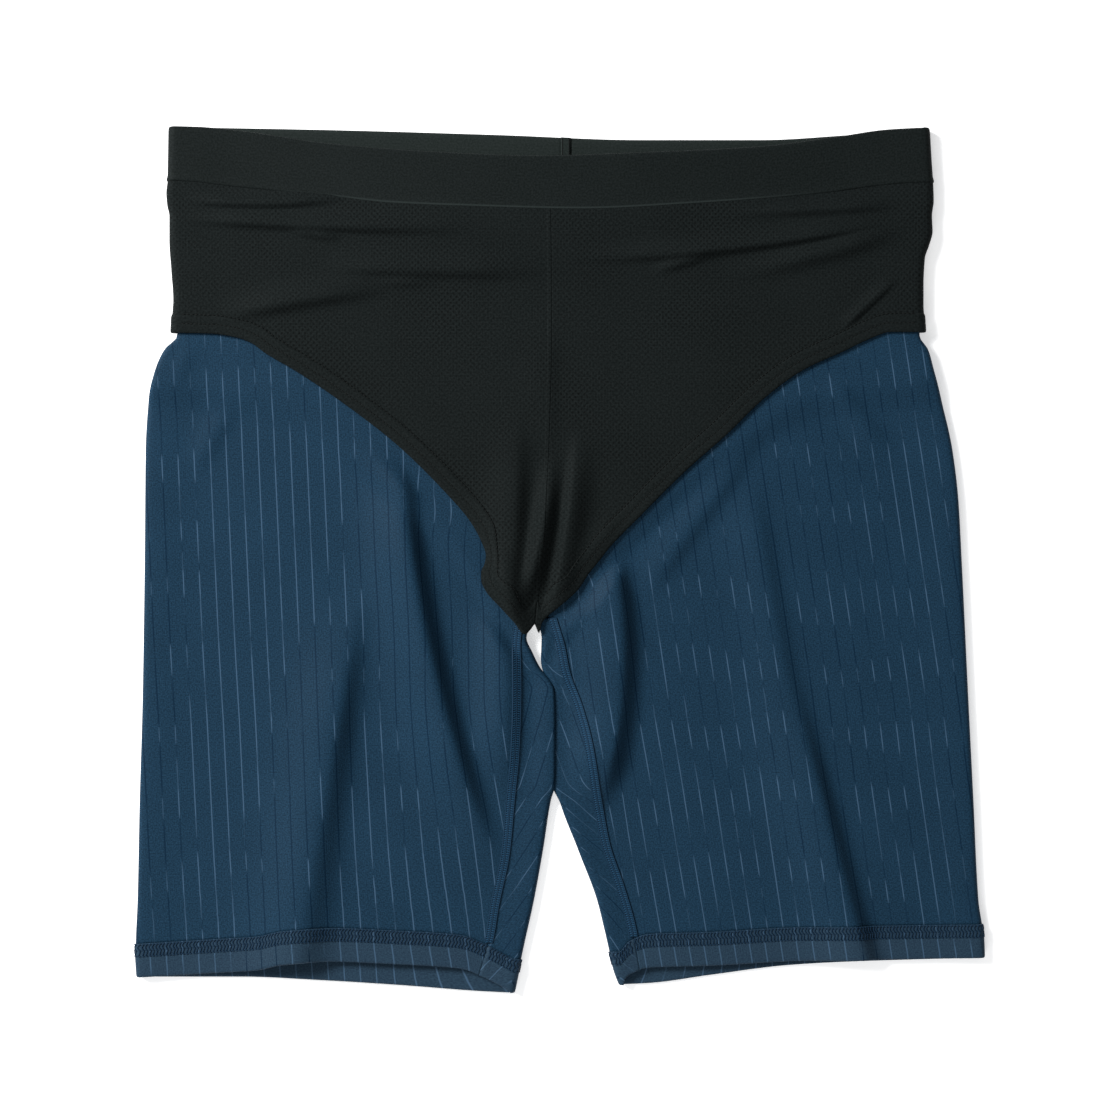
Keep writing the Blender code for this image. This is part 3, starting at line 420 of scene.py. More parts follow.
def leg_ring(side, front_y, back_y, rows, wall, proud, closed):
    """Rings of a leg at mid wall, one for each share in rows: from the inseam out over the
    upper layer, round the outer fold, back along the lower layer, and below the crotch
    round the inner fold to the inseam again. The two lines give y over x and the share."""
    sign, one = side.sign, rows[:, None]
    y_guess = front_y(np.full_like(rows, side.gape_x if closed else sign * 100), rows)
    y_outer = front_y(curve(side.outer, y_guess), rows)
    outer_height = side.side_height(y_outer) + proud
    x_outer, r_outer = side.fold_x(side.outer, y_outer, outer_height, wall, -sign, proud / 2)
    if closed:
        y_inner = front_y(curve(side.inner, y_guess), rows)
        inner_height = side.inner_height(y_inner) + proud
        # Where the legs meet, the left one's fold lies on the right one's, which is
        # tucked under it
        lies_on = (3.4 if sign < 0 else 0) * side.touching(y_inner)
        tucked = (2.8 if sign > 0 else 0) * side.touching(y_inner)
        height = inner_height - lies_on
        x_inner, r_inner = side.fold_x(side.inner, y_inner, height, wall, sign, proud / 2)
        x_inner = x_inner - tucked
        x_seam = curve(side.inseam, front_y(curve(side.inseam, y_guess), rows))
        x_end = x_inner
    else:
        x_seam = centre_x(y_guess)
        x_end = x_seam
    beside = x_seam + sign * FLAT_SEAM / 2
    inside = curve(side.even_from, y_guess)
    front_x = span(
        x_seam, (beside, SEAM_COLUMNS), (inside, THIGH_COLUMNS), (x_outer, OUTER_COLUMNS)
    )
    y = front_y(front_x, one)
    z = side.top(front_x, y) + proud - wall / 2
    floor = lift(x_outer, y_outer)
    z[:, -1] = floor + outer_height - wall / 2
    front = np.stack([front_x, y, z], -1)
    outer = arc(x_outer, z[:, -1], floor + wall / 2, r_outer, sign, ARC_STEPS, y_outer)
    back_x = span(x_outer, (x_end, BACK_COLUMNS))
    y = back_y(back_x, one)
    z = lift(back_x, y) + wall / 2
    if closed:
        share = np.linspace(0, 1, BACK_COLUMNS + 1)
        z = z + lies_on[:, None] * ramp((share - 0.86) / 0.14)
    back = np.stack([back_x, y, z], -1)
    if not closed:
        missing = np.full((len(rows), ARC_STEPS + STRIP_COLUMNS, 3), np.nan)
        return np.concatenate([front, outer, back, missing], 1)
    floor = lift(x_inner, y_inner)
    top = floor + inner_height - wall / 2
    low = floor + lies_on + wall / 2
    inner = arc(x_inner, top, low, r_inner, -sign, ARC_STEPS, y_inner)[:, ::-1]
    strip_x = span(x_inner, (x_seam, STRIP_COLUMNS))
    y = front_y(strip_x, one)
    z = side.top(strip_x, y) + proud - wall / 2
    z[:, 0] = top
    strip = np.stack([strip_x, y, z], -1)
    return np.concatenate([front, outer, back, inner, strip], 1)


def leg_grid(side):
    """The rings of a leg from its hem to the waist seam. Below the crotch a ring's line is
    the hem's own line, straightened step by step to the crotch's height; above it is the
    mix of the crotch's height and the waist seam's line."""
    below = np.linspace(0, 1, 104)
    above = np.concatenate([np.linspace(0, 0.68, 70)[1:], np.linspace(0.68, 1, 15)[1:]])

    def low(table):
        return lambda x, t: (curve(table, x) + LEG_HEM - 0.5) * (1 - t) + CROTCH_Y * t

    def high(table, below_it):
        return lambda x, t: CROTCH_Y * (1 - t) + (curve(table, x) - below_it) * t

    front, back = low(side.hem_front), low(side.hem_back)
    lower = leg_ring(side, front, back, below, LEG_WALL, 0, True)
    front, back = high(WAIST_SEAM_FRONT, 0.6), high(BAND_TOP_BACK, BAND_DEPTH + 0.6)
    upper = leg_ring(side, front, back, above, LEG_WALL, 0, False)
    return np.concatenate([lower, upper])


# Heights of the rings of the turned-up hem, closer together at its free edges
HEM_RISES = [
    0, 0.12, 0.35, 0.7, 1.2, 2, 3.2, 4.8, 6.4, 8, 9.6, 10.6, 11.4, 12.6, 14, 15.4, 16.4, 17,
    17.4, 17.6,
]


def hem_grid(side):
    """The rings of a leg's turned-up hem: the hem's line moved up by each rise."""
    front = lambda x, t: curve(side.hem_front, x) + t
    back = lambda x, t: curve(side.hem_back, x) + t
    rises = np.array(HEM_RISES, float)
    return leg_ring(side, front, back, rises, HEM_WALL, HEM_WALL - LEG_WALL, True)


def stripe_uv(side, grid, late=0):
    """Place of each point in the cut cloth, in millimetres: across it the length along the
    ring from the middle of the leg, rising to the right on the front, sheared by the stripes'
    lean, and up it the height on the table. Over the lower layer the lean changes by a
    ramp to that of the strip past the inner fold, and it begins late columns later. Near
    the inseam the stripes are pulled aside by a bell of the distance to it."""
    steps = np.linalg.norm(np.diff(grid, axis=1), axis=2)
    length = np.concatenate([np.zeros((len(grid), 1)), np.cumsum(np.nan_to_num(steps), 1)], 1)
    x, y = grid[..., 0], grid[..., 1]
    from_middle = x[:, :FRONT_COLUMNS] - side.sign * 125
    nearest = np.abs(from_middle).argmin(1)[:, None]
    rest = np.take_along_axis(from_middle, nearest, 1)
    across = side.sign * (length - np.take_along_axis(length, nearest, 1)) + rest
    column = np.arange(grid.shape[1])
    onto_strip = ramp((column - FRONT_COLUMNS - 22 - late) / 30) * ramp((60 - y) / 90)
    lean = side.lean + (side.strip_lean - side.lean) * onto_strip
    from_seam = np.abs(x - curve(side.inseam, y))
    pulled = np.where(column < FRONT_COLUMNS, np.exp(-((from_seam / 45) ** 2)), 0)
    across = across + lean * y + 120 * side.strip_lean * onto_strip
    across = across + side.pull * pulled * np.minimum(y + 72, 0)
    return np.stack([across, y], -1)


def normal_of(points, quads):
    """Unit normal at each point: the sum of the cross products of the diagonals of the
    cells round it."""
    normal = np.zeros_like(points)
    ahead = np.cross(
        points[quads[:, 2]] - points[quads[:, 0]], points[quads[:, 3]] - points[quads[:, 1]]
    )
    for corner in quads.T:
        np.add.at(normal, corner, ahead)
    return unit(normal)


def cells_of(grid):
    """The four-cornered cells of a grid that have all their points."""
    number = np.arange(grid.shape[0] * grid.shape[1]).reshape(grid.shape[:2])
    there = np.isfinite(grid[..., 0])
    cell = there[:-1, :-1] & there[1:, :-1] & there[:-1, 1:] & there[1:, 1:]
    corners = (number[:-1, :-1], number[:-1, 1:], number[1:, 1:], number[1:, :-1])
    return np.stack([corner[cell] for corner in corners], 1)


def placed(name, data):
    """A new object of the scene."""
    obj = bpy.data.objects.new(name, data)
    bpy.context.scene.collection.objects.link(obj)
    return obj


def piece(name, points, quads, uv, material, painted_gleam=None):
    """A mesh of four-cornered faces from arrays in millimetres, with its place in the cloth
    as a UV map, riding on the one body."""
    mesh = bpy.data.meshes.new(name)
    mesh.vertices.add(len(points))
    mesh.vertices.foreach_set("co", (points * MM).astype(np.float32).ravel())
    mesh.loops.add(quads.size)
    mesh.loops.foreach_set("vertex_index", quads.ravel().astype(np.int32))
    mesh.polygons.add(len(quads))
    mesh.polygons.foreach_set("loop_start", np.arange(0, quads.size, 4, dtype=np.int32))
    mesh.update(calc_edges=True)
    mesh.polygons.foreach_set("use_smooth", np.ones(len(quads), bool))
    layer = mesh.uv_layers.new(name="cloth")
    layer.data.foreach_set("uv", uv[quads.ravel()].astype(np.float32).ravel())
    # The glossy lines' painted reflection, kept on each point for the material
    if painted_gleam is not None:
        painted_line_tone = mesh.attributes.new("painted_gleam", "FLOAT", "POINT")
        painted_line_tone.data.foreach_set("value", painted_gleam.astype(np.float32))
    mesh.materials.append(material)
    obj = placed(name, mesh)
    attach(obj, "root")
    return obj


# Patches where the glossy lines' painted reflection is taken down, as painted shade for most of
# their way, or raised where by is below 0: x, y, reach across, reach up, by
PAINTED_LINE_TONE_PATCHES = [
    (-207, -70, 16, 190, 1.1), (-40, -20, 46, 80, 1.1),
    (-150, 95, 60, 26, 0.5), (212, -60, 16, 190, 0.9),
    (75, 40, 50, 50, 0.8), (130, -60, 70, 150, 0.65),
    (150, 90, 40, 30, 0.5), (20, -190, 40, 60, 0.4),
    (-177, -104, 22, 30, -0.6),
]


def cloth(name, grid, wall, material, uv=None, first=(), last=()):
    """A closed wall of cloth on a grid of middle points: a face half the wall away from
    them on each side, along their normals, and quads round the rim. first and last are
    the shares of the wall on the first and last rows, so that a free edge is round, and
    uv is the place in the cut cloth, or else the plain place from above."""
    half = np.broadcast_to(np.asarray(wall) / 2, grid.shape[:2]).copy()
    for rows, shares in ((half, first), (half[::-1], last)):
        rows[: len(shares)] *= np.array(shares).reshape(-1, 1)
    quads = cells_of(grid)
    used, quads = np.unique(quads, return_inverse=True)
    quads = quads.reshape(-1, 4)
    points, half = grid.reshape(-1, 3)[used], half.reshape(-1)[used][:, None]
    uv = (grid[..., :2] if uv is None else uv).reshape(-1, 2)[used]
    normal = normal_of(points, quads)
    edges = np.concatenate([quads[:, [k, (k + 1) % 4]] for k in range(4)])
    _, where, times = np.unique(np.sort(edges, 1), True, False, True, axis=0)
    a, b = edges[where[times == 1]].T
    count = len(points)
    rim = np.stack([b, a, a + count, b + count], 1)
    faces = np.concatenate([quads, quads[:, ::-1] + count, rim])
    both = np.concatenate([points + normal * half, points - normal * half])
    # Painted reflection on the glossy lines, from each point's normal: pale on slopes that
    # would send the window's light up, painted shade elsewhere, moved by the patches listed
    # above
    towards = -0.85 * normal[:, 0] + 0.5 * normal[:, 1]
    painted_gleam = 1.6 * np.exp(-(((towards - 0.07) / 0.2) ** 2)) - 0.85
    for x, y, across, up, by in PAINTED_LINE_TONE_PATCHES:
        far = ((points[:, 0] - x) / across) ** 2 + ((points[:, 1] - y) / up) ** 2
        painted_gleam -= by * np.exp(-far)
    return piece(name, both, faces, np.tile(uv, (2, 1)), material, np.tile(painted_gleam, 2))


def on_grid(grid, column, row):
    """Points of a grid at fractional column and row numbers, each the mix of the four
    points round it, by how near each is."""
    c = np.clip(column, 0, grid.shape[1] - 1.001)
    r = np.clip(row, 0, grid.shape[0] - 1.001)
    i, j = r.astype(int), c.astype(int)
    s, t = (r - i)[..., None], (c - j)[..., None]
    low = grid[i, j] * (1 - t) + grid[i, j + 1] * t
    high = grid[i + 1, j] * (1 - t) + grid[i + 1, j + 1] * t
    return low * (1 - s) + high * s


def threads(name, grid, up, columns, rows, above, radius, material, flat=0.7):
    """Threads that lie on a cloth. Each path is a row of fractional column and row numbers;
    round each of its points stands an oval of six, radius wide and flat times as high,
    across the path, and its end ovals are small and closed. up is 1 where the grid's own
    normals point out of the cloth and -1 where they point in, and above is how far the
    thread's middle is from the grid."""
    d = 0.25
    across = on_grid(grid, columns + d, rows) - on_grid(grid, columns - d, rows)
    rising = on_grid(grid, columns, rows + d) - on_grid(grid, columns, rows - d)
    normal = unit(np.cross(across, rising) * up)
    point = on_grid(grid, columns, rows) + normal * above
    side_way = np.cross(unit(np.gradient(point, axis=1)), normal)
    angle = np.arange(6) * np.pi / 3
    size = np.full(point.shape[1], radius)
    size[[0, -1]] *= 0.45
    size = size[:, None, None]
    ring = (
        point[:, :, None]
        + size * np.cos(angle)[:, None] * side_way[:, :, None]
        + size * flat * np.sin(angle)[:, None] * normal[:, :, None]
    )
    count, steps = point.shape[:2]
    number = np.arange(count * steps * 6).reshape(count, steps, 6)
    turned = np.roll(number, -1, axis=2)
    tube = np.stack([number[:, :-1], turned[:, :-1], turned[:, 1:], number[:, 1:]], -1)
    ends = [number[:, 0, [3, 2, 1, 0]], number[:, 0, [5, 4, 3, 0]]]
    ends += [number[:, -1, [0, 1, 2, 3]], number[:, -1, [0, 3, 4, 5]]]
    quads = np.concatenate([tube.reshape(-1, 4), *ends])
    along = np.linalg.norm(np.diff(point, axis=1), axis=2).cumsum(1)
    along = np.concatenate([np.zeros((count, 1)), along], 1)
    uv = np.stack(np.broadcast_arrays(along[:, :, None], angle), -1).reshape(-1, 2)
    return piece(name, ring.reshape(-1, 3), quads[:, ::-1], uv, material)


def linear(value):
    """A colour written as sRGB hex, as linear red, green, blue and alpha. Any other value
    stays as it is."""
    if not isinstance(value, str):
        return value
    parts = [int(value[i : i + 2], 16) / 255 for i in (1, 3, 5)]
    parts = [c / 12.92 if c <= 0.04045 else ((c + 0.055) / 1.055) ** 2.4 for c in parts]
    return (*parts, 1)


class Finish:
    """A material and its node tree, with the few nodes that the finishes use."""

    def __init__(self, name, **settings):
        self.material = bpy.data.materials.new(name)
        self.material.use_nodes = True
        self.tree = self.material.node_tree
        self.shader = self.tree.nodes["Principled BSDF"]
        for socket, value in settings.items():
            self.shader.inputs[socket.replace("_", " ")].default_value = linear(value)

    def add(self, kind, inputs=(), **settings):
        """Adds a node, with its settings, and each input as a value or a link."""
        node = self.tree.nodes.new("ShaderNode" + kind)
        for name, value in settings.items():
            setattr(node, name, value)
        for key, value in dict(inputs).items():
            if isinstance(value, bpy.types.NodeSocket):
                self.tree.links.new(value, node.inputs[key])
            else:
                node.inputs[key].default_value = linear(value)
        return node

    def math(self, operation, a, b=0):
        return self.add("Math", {0: a, 1: b}, operation=operation).outputs[0]

    def plus(self, a, b):
        return self.math("ADD", a, b)

    def times(self, a, b):
        return self.math("MULTIPLY", a, b)

    def mix(self, share, none, all_of_it):
        """The mix of two colours, each a hex value or a socket."""
        return self.add("Mix", {0: share, 6: none, 7: all_of_it}, data_type="RGBA").outputs[2]

    def ranged(self, value, start, stop, low=0, high=1, **settings):
        """low where the value is at start, high where it is at stop, and held beyond."""
        inputs = {0: value, 1: start, 2: stop, 3: low, 4: high}
        return self.add("MapRange", inputs, **settings).outputs[0]

    def noise(self, place, scale, detail):
        inputs = {"Vector": place, "Scale": scale, "Detail": detail}
        return self.add("TexNoise", inputs).outputs["Fac"]

    def cloth_place(self):
        """Place in the cloth in millimetres, and its parts across and up the cloth."""
        uv = self.add("UVMap", uv_map="cloth").outputs[0]
        parts = self.add("SeparateXYZ", {0: uv}).outputs
        return uv, parts[0], parts[1]

    def grain(self, uv, scale):
        """0 to 1 over the cloth: wide soft patches and, for the most part, the fine
        unevenness of the yarn, which is also given alone."""
        fine = self.ranged(self.noise(uv, scale, 2), 0.34, 0.66)
        return self.plus(self.times(self.noise(uv, 0.028, 3), 0.3), self.times(fine, 0.7)), fine

    def done(self, colour, relief, strength, distance, **settings):
        """Links the colour and a bump of the relief, and gives the material."""
        self.link(colour, "Base Color")
        inputs = {"Height": relief, "Strength": strength, "Distance": distance}
        self.link(self.add("Bump", inputs, **settings).outputs[0], "Normal")
        return self.material

    def link(self, source, socket):
        self.tree.links.new(source, self.shader.inputs[socket])


def striped_jersey(name, deep, light, offset=0, pale=0):
    """Smooth stretch jersey of fine matt yarn, navy, with a glossy line knitted in every
    8.4 mm. Its light and dark are painted: painted highlight on slopes that face the light and
                                            painted shade on the others."""
    f = Finish(
        name, Roughness=0.64, Specular_IOR_Level=0.08, Sheen_Weight=0.03,
        Sheen_Roughness=0.45, Sheen_Tint="#8FB3D6",
    )
    uv, across, up = f.cloth_place()
    turn = f.math("DIVIDE", f.plus(across, 100 * STRIPE_PITCH + offset), STRIPE_PITCH)
    from_line = f.math("ABSOLUTE", f.math("SUBTRACT", f.math("FRACT", turn), 0.5))
    from_line = f.times(from_line, STRIPE_PITCH)
    line = f.ranged(from_line, 0.1, 0.46, 1, 0, interpolation_type="SMOOTHSTEP")
    # A line is painted pale or dark, as painted highlight and painted shade: by the painted
    # reflection of the slope it lies on, by noise along it, and by brighter dashes in rows
    # across the cloth, painted glints of small ripples.
    # It is faint where it changes from one to the other.
    painted_gleam = f.add("Attribute", attribute_name="painted_gleam").outputs["Fac"]
    along = f.add(
        "CombineXYZ", {0: f.times(f.math("FLOOR", turn), 7.31), 1: f.times(up, 0.03)}
    ).outputs[0]
    runs = f.times(f.math("SUBTRACT", f.noise(along, 1, 2), 0.5), 2)
    wander = f.times(f.noise(uv, 0.012, 1), 9)
    beat = f.math("SINE", f.plus(f.times(up, 2 * math.pi / DASH_PITCH), wander))
    painted_glint_dashes = f.times(f.ranged(beat, 0.1, 0.9), 0.5)
    painted_line_tone = f.plus(f.plus(painted_gleam, f.plus(runs, painted_glint_dashes)), pale - 0.2)
    painted_pale_share = f.ranged(painted_line_tone, -0.02, 0.02)
    strength = f.ranged(f.math("ABSOLUTE", painted_line_tone), 0, 0.4, 0.15, 0.9)
    mask = f.times(line, strength)
    shade, fine = f.grain(uv, 1.3)
    # The lines' painted shade and painted highlight colours
    colour = f.mix(mask, f.mix(shade, deep, light), f.mix(painted_pale_share, "#001A2E", "#3C556C"))
    f.link(f.ranged(f.times(mask, painted_pale_share), 0, 1, 0.62, 0.5), "Roughness")
    # Wales of the knit: about 0.5 mm on the real cloth, drawn at 1.05 mm
    wale = f.math("SINE", f.times(across, 2 * math.pi / 1.05))
    relief = f.plus(f.plus(f.times(wale, 0.12), f.times(line, 0.5)), f.times(fine, 0.4))
    return f.done(colour, relief, 0.25, 0.00025)


def sewing_thread(name, dark, light):
    """Textured polyester thread, matt: its twist is painted in a darker and a lighter tone, a
    painted shine where it turns.
    """
    f = Finish(name, Roughness=0.55, Specular_IOR_Level=0.12)
    uv, _, _ = f.cloth_place()
    twist = f.add("TexWave", {"Vector": uv, "Scale": 1.6, "Distortion": 0.5}).outputs["Fac"]
    return f.done(f.mix(twist, dark, light), twist, 0.3, 0.0001)


def birdseye_mesh(name, hole=0.68):
    """Black polyester mesh knit: rows of pin holes on the diagonal, which show as darker
    specks between matt raised yarns."""
    f = Finish(
        name, Roughness=0.72, Specular_IOR_Level=0.05, Sheen_Weight=0.015,
        Sheen_Roughness=0.5,
    )
    uv, across, up = f.cloth_place()
    # Holes 3.0 mm apart in a row, rows 1.6 mm apart, each row half a step on
    columns = f.math("SINE", f.times(across, math.pi / 1.51))
    rows = f.math("SINE", f.times(up, math.pi / 1.58))
    pit = f.ranged(f.times(columns, rows), 0.15, 0.75, 0, hole)
    # The holes close up in patches, where the knit is pulled
    pit = f.times(pit, f.ranged(f.noise(uv, 0.018, 2), 0.38, 0.6, 0.35, 1))
    shade, _ = f.grain(uv, 1)
    colour = f.mix(pit, f.mix(shade, "#080D0D", "#1A1F1F"), "#050606")
    return f.done(colour, pit, 0.5, 0.0003, invert=True)


def elastic_jersey(name):
    """Black jersey over a wide elastic: smooth, with the faint cross ribs of the elastic."""
    f = Finish(
        name, Roughness=0.66, Specular_IOR_Level=0.06, Sheen_Weight=0.015,
        Sheen_Roughness=0.5,
    )
    uv, across, up = f.cloth_place()
    shade, fine = f.grain(uv, 1)
    # The band's front is 410 mm along its ring, give or take 200 mm. The inner face of its
    # back, past the side folds, is painted paler: painted light on the face seen in the waist's
    # mouth, which lies in the front's shade.
    from_front = f.math("ABSOLUTE", f.math("SUBTRACT", across, 410))
    front, back = f.mix(shade, "#080E0D", "#191E1E"), f.mix(shade, "#171E1C", "#252B2A")
    colour = f.mix(f.ranged(from_front, 200, 210), front, back)
    # The sewn lower edge of the front stands up a little; along it, near the middle of the
    # front, a painted highlight
    edge = f.times(f.ranged(up, 0.5, 1.4, 0.55, 0), f.ranged(from_front, 90, 150, 1, 0))
    rib = f.math("SINE", f.times(up, 2 * math.pi / 1.6))
    relief = f.plus(f.times(rib, 0.18), f.times(fine, 0.4))
    return f.done(f.mix(edge, colour, "#343C3B"), relief, 0.3, 0.0002)


def matt_paper(name):
    """The white sheet the garment lies on, lit a little from below as on a light table, so
    that hardly any shadow shows."""
    f = Finish(
        name, Roughness=0.85, Specular_IOR_Level=0.2, Emission_Strength=0.5,
        Emission_Color="#FFFFFF",
    )
    place = f.add("TexCoord").outputs["Object"]
    f.link(f.mix(f.noise(place, 40, 3), "#F4F4F4", "#F7F7F7"), "Base Color")
    return f.material


jersey = striped_jersey("striped_stretch_jersey", "#081E2D", "#1C3A50")
# The turned hems' jersey is painted lighter than the leg's, with more of its glossy lines
# painted pale: painted light, which lifts the shade in the hems' mouths
jersey_turned = striped_jersey(
    "striped_stretch_jersey_turned", "#182838", "#2A4050", offset=2.6, pale=0.25
)
navy_thread, dark_thread, blue_thread, black_thread = (
    sewing_thread("polyester_thread_" + name, dark, light)
    for name, dark, light in (
        ("navy", "#081D2E", "#1B3A52"), ("dark_navy", "#061727", "#12314A"),
        ("blue", "#14374F", "#27506E"), ("black", "#060808", "#141817"),
    )
)
mesh_knit = birdseye_mesh("birdseye_mesh_knit")
mesh_edge = birdseye_mesh("birdseye_mesh_knit_turned", hole=0.25)
elastic = elastic_jersey("elastic_band_jersey")


def legs_and_hems(side):
    """A leg, its turned-up hem with the stitches, and its inseam."""
    grid = leg_grid(side)
    uv = stripe_uv(side, grid)
    name = f"jersey_leg_{side.name}"
    leg = cloth(name, grid, LEG_WALL, jersey, uv, last=(0.5,))
    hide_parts(f"leg_{side.name}")
    ring = hem_grid(side)
    uv = stripe_uv(side, ring, late=13)
    hem = cloth(
        f"turned_hem_{side.name}", ring, HEM_WALL, jersey_turned, uv,
        first=(0.12, 0.45, 0.7, 0.87, 0.97), last=(0.35, 0.7, 0.9),
    )
    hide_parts(f"leg_hem_{side.name}")
    stitches = coverstitch(side, ring)
    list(inseam(side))


def coverstitch(side, ring):
    """The looper side of the hem's stitch, all round the leg: in the upper row a bow for
    each stitch, half a sine wave wide, in the lower row a slanting stroke, and a line of
    short needle loops along the top, the middle and the bottom."""
    length = travelled(ring[12])
    count = int(length[-1] // STITCH_PITCH)
    start = (np.arange(count)[:, None] + 0.3) * STITCH_PITCH
    uneven = start + 0.12 * np.sin(start * 1.7) + 0.08 * np.sin(start * 4.1)
    t = np.linspace(0, 1, 6)
    bow = uneven + side.sign * (0.25 - np.sin(np.pi * t))
    slant = uneven + side.sign * (0.5 - 1.1 * t[::-1])
    loop = start + STITCH_PITCH * 0.7 * (t - 0.5)
    at = np.concatenate([bow, slant, loop, loop, loop])
    bottom, middle, top = HEM_ROWS
    rise = bottom + (middle - bottom) * t
    levels = [rise + middle - bottom, rise, 0 * t + top, 0 * t + middle, 0 * t + bottom]
    columns = np.interp(at, length, np.arange(len(length)))
    rows = np.interp(np.repeat(levels, count, 0), HEM_RISES, np.arange(len(HEM_RISES)))
    return threads(
        f"coverstitch_{side.name}", ring, side.sign, columns, rows, HEM_WALL / 2 + 0.15,
        0.33, dark_thread, flat=0.9,
    )


def inseam(side):
    """The flat seam over the inseam: a strip on the leg's upper face, 4.8 mm wide, with
    two rails, a middle line and the rungs between them."""
    y0 = float(curve(side.hem_front, curve(side.inseam, -215))) + LEG_HEM - 0.4
    y = np.linspace(y0, CROTCH_Y, 110)[:, None]
    off = np.linspace(-0.5, 0.5, 7) * FLAT_SEAM
    x = curve(side.inseam, y) + off
    grid = np.stack([x, np.broadcast_to(y, x.shape), side.top(x, y) + 0.1], -1)
    wall = 0.8 * np.array([0.2, 0.8, 1, 1, 1, 0.8, 0.2])
    uv = np.stack(np.broadcast_arrays(off, y), -1)
    strip = cloth(f"flat_seam_{side.name}", grid, wall, navy_thread, uv)
    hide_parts(f"inseam_{side.name}")
    return strip, *ladder(f"flat_seam_{side.name}_ladder", grid)


def ladder(name, grid):
    """Stitches over a flat seam: rungs from its middle to its rails at every pitch, each
    a little aslant, and lengthwise threads along its rails and its middle."""
    rows, last = len(grid), grid.shape[1] - 1
    length = travelled(grid[:, grid.shape[1] // 2])
    count = int(length[-1] / LADDER_PITCH)
    at = np.interp((np.arange(count) + 0.5) * LADDER_PITCH, length, np.arange(rows))
    t = np.linspace(0, 1, 5)
    c = last * np.repeat([0.08 + 0.36 * t, 0.56 + 0.36 * t], count, 0)
    slope = 0.25 * (t - 0.5)
    r = np.concatenate([at[:, None] + slope, at[:, None] - slope])
    rungs = threads(name, grid, 1, c, r, 0.45, 0.26, blue_thread)
    c = last * np.array([[0.08], [0.5], [0.92]])
    r = np.arange(rows)[None]
    return rungs, threads(name + "_rails", grid, 1, c, r, 0.45, 0.28, navy_thread)


def inside_edge(side, shares, depth):
    """The edge of the brief moved into the cloth by depth: square to the edge, and
    straight up the seams at its two ends."""
    ahead, behind = np.clip(shares + 0.02, 0, 1), np.clip(shares - 0.02, 0, 1)
    way = along_edge(side.brief_edge, ahead) - along_edge(side.brief_edge, behind)
    normal = unit(np.stack([-way[:, 1], way[:, 0]], 1) * -side.sign)
    at_end = np.maximum(ramp(1 - shares / 0.12), ramp((shares - 0.86) / 0.1))[:, None]
    normal = unit(normal * (1 - at_end) + np.array([0, 1]) * at_end)
    deeper = 1 + 0.3 * ramp((shares - 0.84) / 0.1)
    deeper -= side.bay * np.exp(-(((shares - 0.785) / 0.03) ** 2))
    return along_edge(side.brief_edge, shares) + normal * depth * deeper[:, None]


BRIEF_SHARES = np.linspace(0, 1, 150)


def brief_lines(side, count):
    """Lines of (x, y) over the brief's front, from the waist seam to its turned edge: the
    mix of the waist seam and the edge's line, whose columns bow towards the centre close
    to the tip."""
    low = inside_edge(side, BRIEF_SHARES, BRIEF_EDGE)
    side_x = side.brief_edge[0][0]
    top_x = side_x + (centre_x(185) - side_x) * BRIEF_SHARES
    top = np.stack([top_x, curve(WAIST_SEAM_FRONT, top_x) + 0.6], 1)
    up = np.linspace(1, 0, count)[:, None]
    lines = top * up[..., None] + low * (1 - up[..., None])
    bow = side.tip_bow * ramp((BRIEF_SHARES - 0.7) / 0.12) * ramp((1 - BRIEF_SHARES) / 0.06)
    lines[:, :, 0] -= side.sign * bow * up / 0.15 * np.exp(1 - up / 0.15)
    return lines


def brief_grid(side, lines, wall, proud):
    """Mid-wall points of the brief's front over lines of (x, y) points, which run from the
    side fold to the centre seam, with the side fold and a strip under it."""
    sign = side.sign
    x, y = lines[..., 0].copy(), lines[..., 1]
    floor = lift(x[:, 0], y[:, 0])
    height = floor + side.side_height(y[:, 0]) + LAYER_GAP + wall
    x_fold, radius = side.fold_x(side.hip, y[:, 0], height, wall, -sign, proud)
    share = np.linspace(0, 1, x.shape[1])
    x += (x_fold - x[:, 0])[:, None] * (1 - share) ** 4
    x += (centre_x(y[:, -1]) - x[:, -1])[:, None] * share**4
    z = side.brief_top(x, y, wall) - wall / 2
    z[:, 0] = height - wall / 2
    front = np.stack([x, y, z], -1)
    low = np.full_like(height, wall / 2)
    fold = arc(x_fold, z[:, 0], low, radius, sign, ARC_STEPS, y[:, 0])[:, ::-1]
    edge_x = curve(side.hip, 150) - sign * SIDE_SEAM_INSET
    drop = curve(BAND_TOP_BACK, x_fold) - curve(BAND_TOP_BACK, edge_x)
    edge_y = y[:, 0] - drop * ramp((y[:, 0] - 170) / 25)
    t = np.linspace(0, 1, 6)
    under_x = edge_x * (1 - t) + x_fold[:, None] * t
    under_y = edge_y[:, None] * (1 - t) + y[:, :1] * t
    under = np.stack([under_x, under_y, np.full_like(under_x, wall / 2)], -1)
    return np.concatenate([under, fold, front], 1)


EDGE_DEPTHS = np.array(
    [9.9, 9.5, 9, 8.2, 7, 6, 5.2, 4.8, 4.4, 3.6, 2.4, 1.4, 0.7, 0.25, 0]
)


